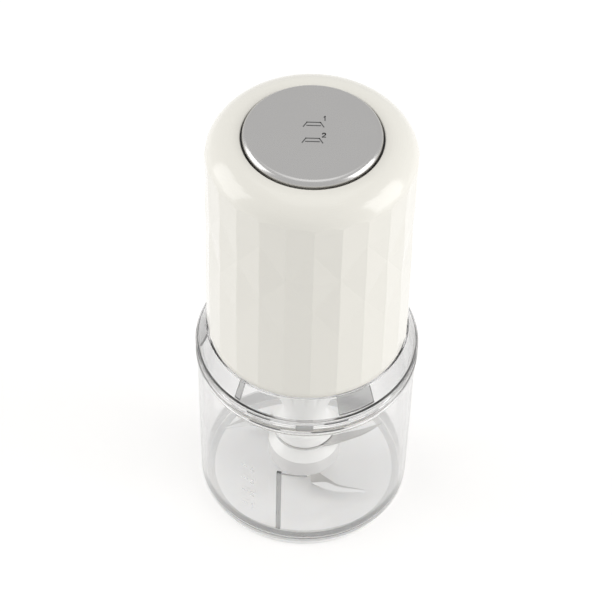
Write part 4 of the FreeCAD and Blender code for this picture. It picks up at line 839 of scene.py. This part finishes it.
def makeHub(settings):
    low, high = boxMm("blade_hub")
    s = settings
    top = high.z
    shares = [step / 8 for step in range(1, 9)]
    waistDrop, flareRise = s["flange"] - s["waistLip"] - s["waist"], s["column"] - s["waist"]
    waist = [(s["waist"] + waistDrop * (1 - t) ** 2, s["flangeTop"] + (s["waistZ"] - s["flangeTop"]) * t, 0)
             for t in shares]
    flare = [(s["waist"] + flareRise * (3 * t * t - 2 * t ** 3),
              s["waistZ"] + (s["columnZ"] - s["waistZ"]) * t, 0) for t in shares]
    column = [(s["column"], s["columnZ"] + (top - s["columnZ"]) * t, 0) for t in (0.08, 0.3, 0.6, 0.9)]
    neck, slotLow, slotHigh = s["neck"], s["blade"] - s["air"], s["bladeTop"] + s["air"]
    points = [(s["bore"], s["foot"], 0.3), (s["core"], s["foot"], 0.5), (s["core"], s["skirtFoot"], 0.3),
              (s["skirt"], s["skirtFoot"], 0.8), (s["skirt"], s["skirtTop"], 1.5),
              (s["shoulder"], s["shoulderTop"], 1.5), (s["shoulder"], slotLow, 0.2), (neck, slotLow, 0),
              (neck, slotHigh, 0), (s["flangeIn"], slotHigh, 0.3),
              (s["flange"], slotHigh + s["flangeRise"], 0.5), (s["flange"], s["flangeTop"], 1.2),
              *waist, *flare, *column, (s["column"], top, 0.6), (s["socket"], top, 0.3),
              (s["socket"], top - s["socketDepth"], 0), (s["bore"], top - s["socketDepth"] - 0.1, 0)]
    fluteFoot = s["columnZ"] - s["fluteFade"] / 2

    def fluted(r, z, angle):
        if r < s["column"] - s["fluteMargin"] or z < fluteFoot:
            return r
        fade = min(1.0, (z - fluteFoot) / s["fluteFade"])
        return r - s["fluteDepth"] * fade * max(0.0, math.cos(s["flutes"] * angle)) ** 2

    shape = turnLine(bendCorners(points, 6), s["sides"], fluted)
    hub = addPiece("bladeHub", shape, "blade_unit", "hub_plastic", ["blade_hub"])
    hub.data.materials.append(skirtShadeLook)
    for face in hub.data.polygons:    # painted shade: the skirt's upright side is a darker band, for the shade that falls on it
        middle = face.center / mm
        side = math.hypot(middle.x, middle.y) > s["skirt"] - s["shadeBandMargin"]
        face.material_index = 1 if side and middle.z < s["skirtTop"] else 0


def curveThrough(points, steps):    # a smooth line through a few points
    line = []
    last = len(points) - 1
    for index in range(last):
        p0, p1 = Vector(points[max(index - 1, 0)]), Vector(points[index])
        p2, p3 = Vector(points[index + 1]), Vector(points[min(index + 2, last)])
        for step in range(steps):
            t = step / steps
            bow = (2 * p0 - 5 * p1 + 4 * p2 - p3) * t ** 2 + (3 * p1 - p0 - 3 * p2 + p3) * t ** 3
            line.append(0.5 * (2 * p1 + (p2 - p0) * t + bow))
    line.append(Vector(points[-1]))
    return line


bladeStock = {"bore": 8.56, "air": 0.02, "thin": 0.85, "steps": 8, "ringSides": 96, "soften": 0.06,
              "leastGround": 0.02}
lowerBlade = {**bladeStock, "node": "lower_blade", "ring": 11.0,
              "back": [(6.7, -7.2), (8.9, -10.9), (11.6, -13.4), (14.8, -15.8), (19.6, -18.8),
                       (32.7, -21.6)],
              "cutting": [(3.7, -9.8), (4.6, -17.4), (8.4, -19.7), (15.0, -22.05), (20.8, -22.8),
                          (32.9, -22.85)],
              "groundFrom": 0.2, "groundRun": 0.3, "ground": 0.62}
upperBlade = {**bladeStock, "node": "upper_blade", "ring": 16.3,
              "back": [(2.0, -13.8), (8.0, -13.5), (13.4, -12.7), (23.9, -8.3), (33.0, -3.6), (41.9, 3.4)],
              "cutting": [(12.6, -6.0), (13.0, -3.4), (14.5, -1.9), (21.5, -0.6), (31.5, 0.9), (41.8, 3.5)],
              "groundFrom": 0.25, "groundRun": 0.2, "ground": 0.45}


def makeBlade(name, settings):
    low, high = boxMm(settings["node"])
    foot, top = low.z + settings["air"], high.z - settings["air"]
    back = curveThrough(settings["back"], settings["steps"])
    cutting = curveThrough(settings["cutting"], settings["steps"])
    last = len(back) - 1
    corners, groundSide = 5, 2
    faces = ringWalls(corners, last) + ringEnds(corners, last)
    ground = [side == groundSide and index / last > settings["groundFrom"]
              for index in range(last) for side in range(corners)] + [False, False]
    parts = []
    for flip in (1, -1):
        verts = []
        for index, (a, b) in enumerate(zip(back, cutting)):
            along = (index / last - settings["groundFrom"]) / settings["groundRun"]
            share = min(1.0, max(0.0, along))
            edgeZ = top - (top - foot) * settings["thin"] * share
            line = b + (a - b) * max(settings["ground"] * share, settings["leastGround"])
            for point, z in ((a, foot), (a, top), (line, top), (b, edgeZ), (b, foot)):
                verts.append((flip * point.x * mm, flip * point.y * mm, z * mm))
        parts.append((verts, faces))
    bore, ring = settings["bore"], settings["ring"]
    section = [(bore, foot), (ring, foot), (ring, top), (bore, top)]
    parts.append(turnLine([Vector(corner) for corner in section], settings["ringSides"]))
    blade = addPiece(name, joinParts(parts), "blade_unit", "blade_steel", [settings["node"]], smooth=False)
    blade.data.materials.append(groundHighlightLook)
    # the ground faces get the lighter steel, partly a painted highlight
    for face, bright in zip(blade.data.polygons, ground * 2):    # the two wings have the same faces
        face.material_index = 1 if bright else 0
    softenEdges(blade, settings["soften"], 1)


makeHub(hubSettings)
makeBlade("lowerBladeSteel", lowerBlade)
makeBlade("upperBladeSteel", upperBlade)
print("blade unit made")


springSettings = {"turns": 6, "wire": 0.6, "perTurn": 40, "around": 8, "air": 0.01, "travel": 4.0}


def makeSpring(settings):    # a coil of round wire at full length; the real spring closes up as the button goes down
    low, high = boxMm("button_spring")
    wire, around = settings["wire"], settings["around"]
    radius = high.x - wire - settings["air"]
    steps = settings["turns"] * settings["perTurn"]
    verts = []
    for step in range(steps + 1):
        turn = 2 * math.pi * step / settings["perTurn"]
        middle = low.z + wire + (high.z - low.z - 2 * wire) * step / steps
        for side in range(around):
            spot = 2 * math.pi * side / around
            reach = radius + wire * math.cos(spot)
            verts.append(polarMm(reach, turn, middle + wire * math.sin(spot)))
    faces = ringWalls(around, steps)
    faces += [tuple(range(around)), tuple(steps * around + side for side in reversed(range(around)))]
    spring = addPiece("buttonSpring", (verts, faces), "power_unit", "spring_steel", ["button_spring"])
    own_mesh(spring)


makeSpring(springSettings)
print("button spring made")


glandSettings = {"bore": 2.4, "neck": 4.2, "flange": 6.2, "inside": 48.0, "outside": 51.32, "lip": 1.4,
                 "waist": 0.4, "ribs": 3, "ribOut": 0.5, "ribTaper": 0.15, "ribRise": 0.35, "chamfer": 0.8,
                 "gap": 0.2, "sides": 96}


def makeGland(settings):
    low, high = boxMm("cord_gland")
    middle = (low.z + high.z) / 2
    end, neckIn, neckOut = high.y, settings["inside"], settings["outside"]
    bore, neck, flange = settings["bore"], settings["neck"], settings["flange"]
    waist = neck - settings["waist"]
    points = [(bore, low.y, 0.3), (flange, low.y, 0.4), (flange, neckIn, 0.2), (neck, neckIn, 0),
              (neck, neckOut, 0), (flange, neckOut, 0.2),
              (flange - settings["chamfer"], neckOut + settings["lip"], 0.6)]
    first = neckOut + settings["lip"] + settings["gap"]
    for rib in range(settings["ribs"]):
        y = first + rib * (end - settings["gap"] - first) / settings["ribs"]
        reach = neck + settings["ribOut"] - rib * settings["ribTaper"]
        points += [(waist, y, 0.15), (reach, y + settings["ribRise"], 0.15)]
    points += [(waist, end, 0.3), (bore, end, 0.3)]
    verts, faces = turnLine(bendCorners(points, 4), settings["sides"])
    turned = [(v[0], v[2], middle * mm - v[1]) for v in verts]
    addPiece("cordGland", (turned, faces), "power_unit", "gland_rubber", ["cord_gland"])


makeGland(glandSettings)
print("gland made")


studioSettings = {"floorSize": 8.0, "floorTone": 0.8, "glow": 0.26, "glowTint": (1.0, 0.97, 0.94, 1),
                  "world": 0.7, "seen": 1.0, "mirrored": 0.75, "aimHeight": 0.13, "lampShape": 1.2,
                  "bounces": 32}
lamps = {"keyRight": {"place": (2.0, -0.35, 0.9), "power": 21.0, "size": 1.5},
         "fillLeft": {"place": (-2.0, 0.1, 0.9), "power": 17.0, "size": 1.5},
         "topSoft": {"place": (0.0, 0.3, 2.2), "power": 3.0, "size": 1.2}}


def seenRays(tree, mirrored=1.0):    # 1 for rays that end in the eye, 0 for soft light
    path = addNode(tree, "ShaderNodeLightPath").outputs
    shine = mathNode(tree, "MULTIPLY", path["Is Glossy Ray"], mirrored)
    straight = mathNode(tree, "MAXIMUM", path["Is Camera Ray"], path["Is Transmission Ray"])
    return mathNode(tree, "MAXIMUM", straight, shine)


def makeFloor(settings):
    half = settings["floorSize"]
    mesh = bpy.data.meshes.new("studioFloor")
    corners = [(-half, -half, 0), (half, -half, 0), (half, half, 0), (-half, half, 0)]
    mesh.from_pydata(corners, [], [(0, 1, 2, 3)])
    floor = newObject("studioFloor", mesh)
    shading = {"Roughness": 0.9, "Base Color": tone(settings["floorTone"]), "Specular IOR Level": 0.0}
    material, tree, shader = startMaterial("paleFloor", shading)
    strength = mathNode(tree, "MULTIPLY", seenRays(tree), settings["glow"])
    glow = addNode(tree, "ShaderNodeEmission", {"Color": settings["glowTint"], "Strength": strength})
    both = addNode(tree, "ShaderNodeAddShader", {0: shader.outputs[0], 1: glow.outputs[0]})
    feed(tree, tree.nodes["Material Output"], {"Surface": both.outputs[0]})
    mesh.materials.append(material)


def makeWorld(settings):
    world = bpy.data.worlds.new("studioWorld")
    bpy.context.scene.world = world
    world.use_nodes = True
    tree = world.node_tree
    share = (settings["mirrored"] - settings["world"]) / (settings["seen"] - settings["world"])
    more = mathNode(tree, "MULTIPLY", seenRays(tree, share), settings["seen"] - settings["world"])
    strength = mathNode(tree, "ADD", settings["world"], more)
    feed(tree, tree.nodes["Background"], {"Color": (1, 1, 1, 1), "Strength": strength})


def addLamp(name, settings):
    data = bpy.data.lights.new(name, "AREA")
    data.energy = settings["power"]
    data.shape = "RECTANGLE"
    data.size = settings["size"]
    data.size_y = settings["size"] * studioSettings["lampShape"]
    place = Vector(settings["place"])
    aim = Vector((0, 0, studioSettings["aimHeight"])) - place
    turn = aim.to_track_quat("-Z", "Y").to_matrix().to_4x4()
    newObject(name, data).matrix_world = Matrix.Translation(place) @ turn


makeFloor(studioSettings)
makeWorld(studioSettings)
for lampName, lampSettings in lamps.items():
    addLamp(lampName, lampSettings)
bpy.context.scene.view_settings.view_transform = "Standard"
for limit in ("max_bounces", "transmission_bounces", "transparent_max_bounces"):
    setattr(bpy.context.scene.cycles, limit, studioSettings["bounces"])    # many clear walls to pass
print("studio made")
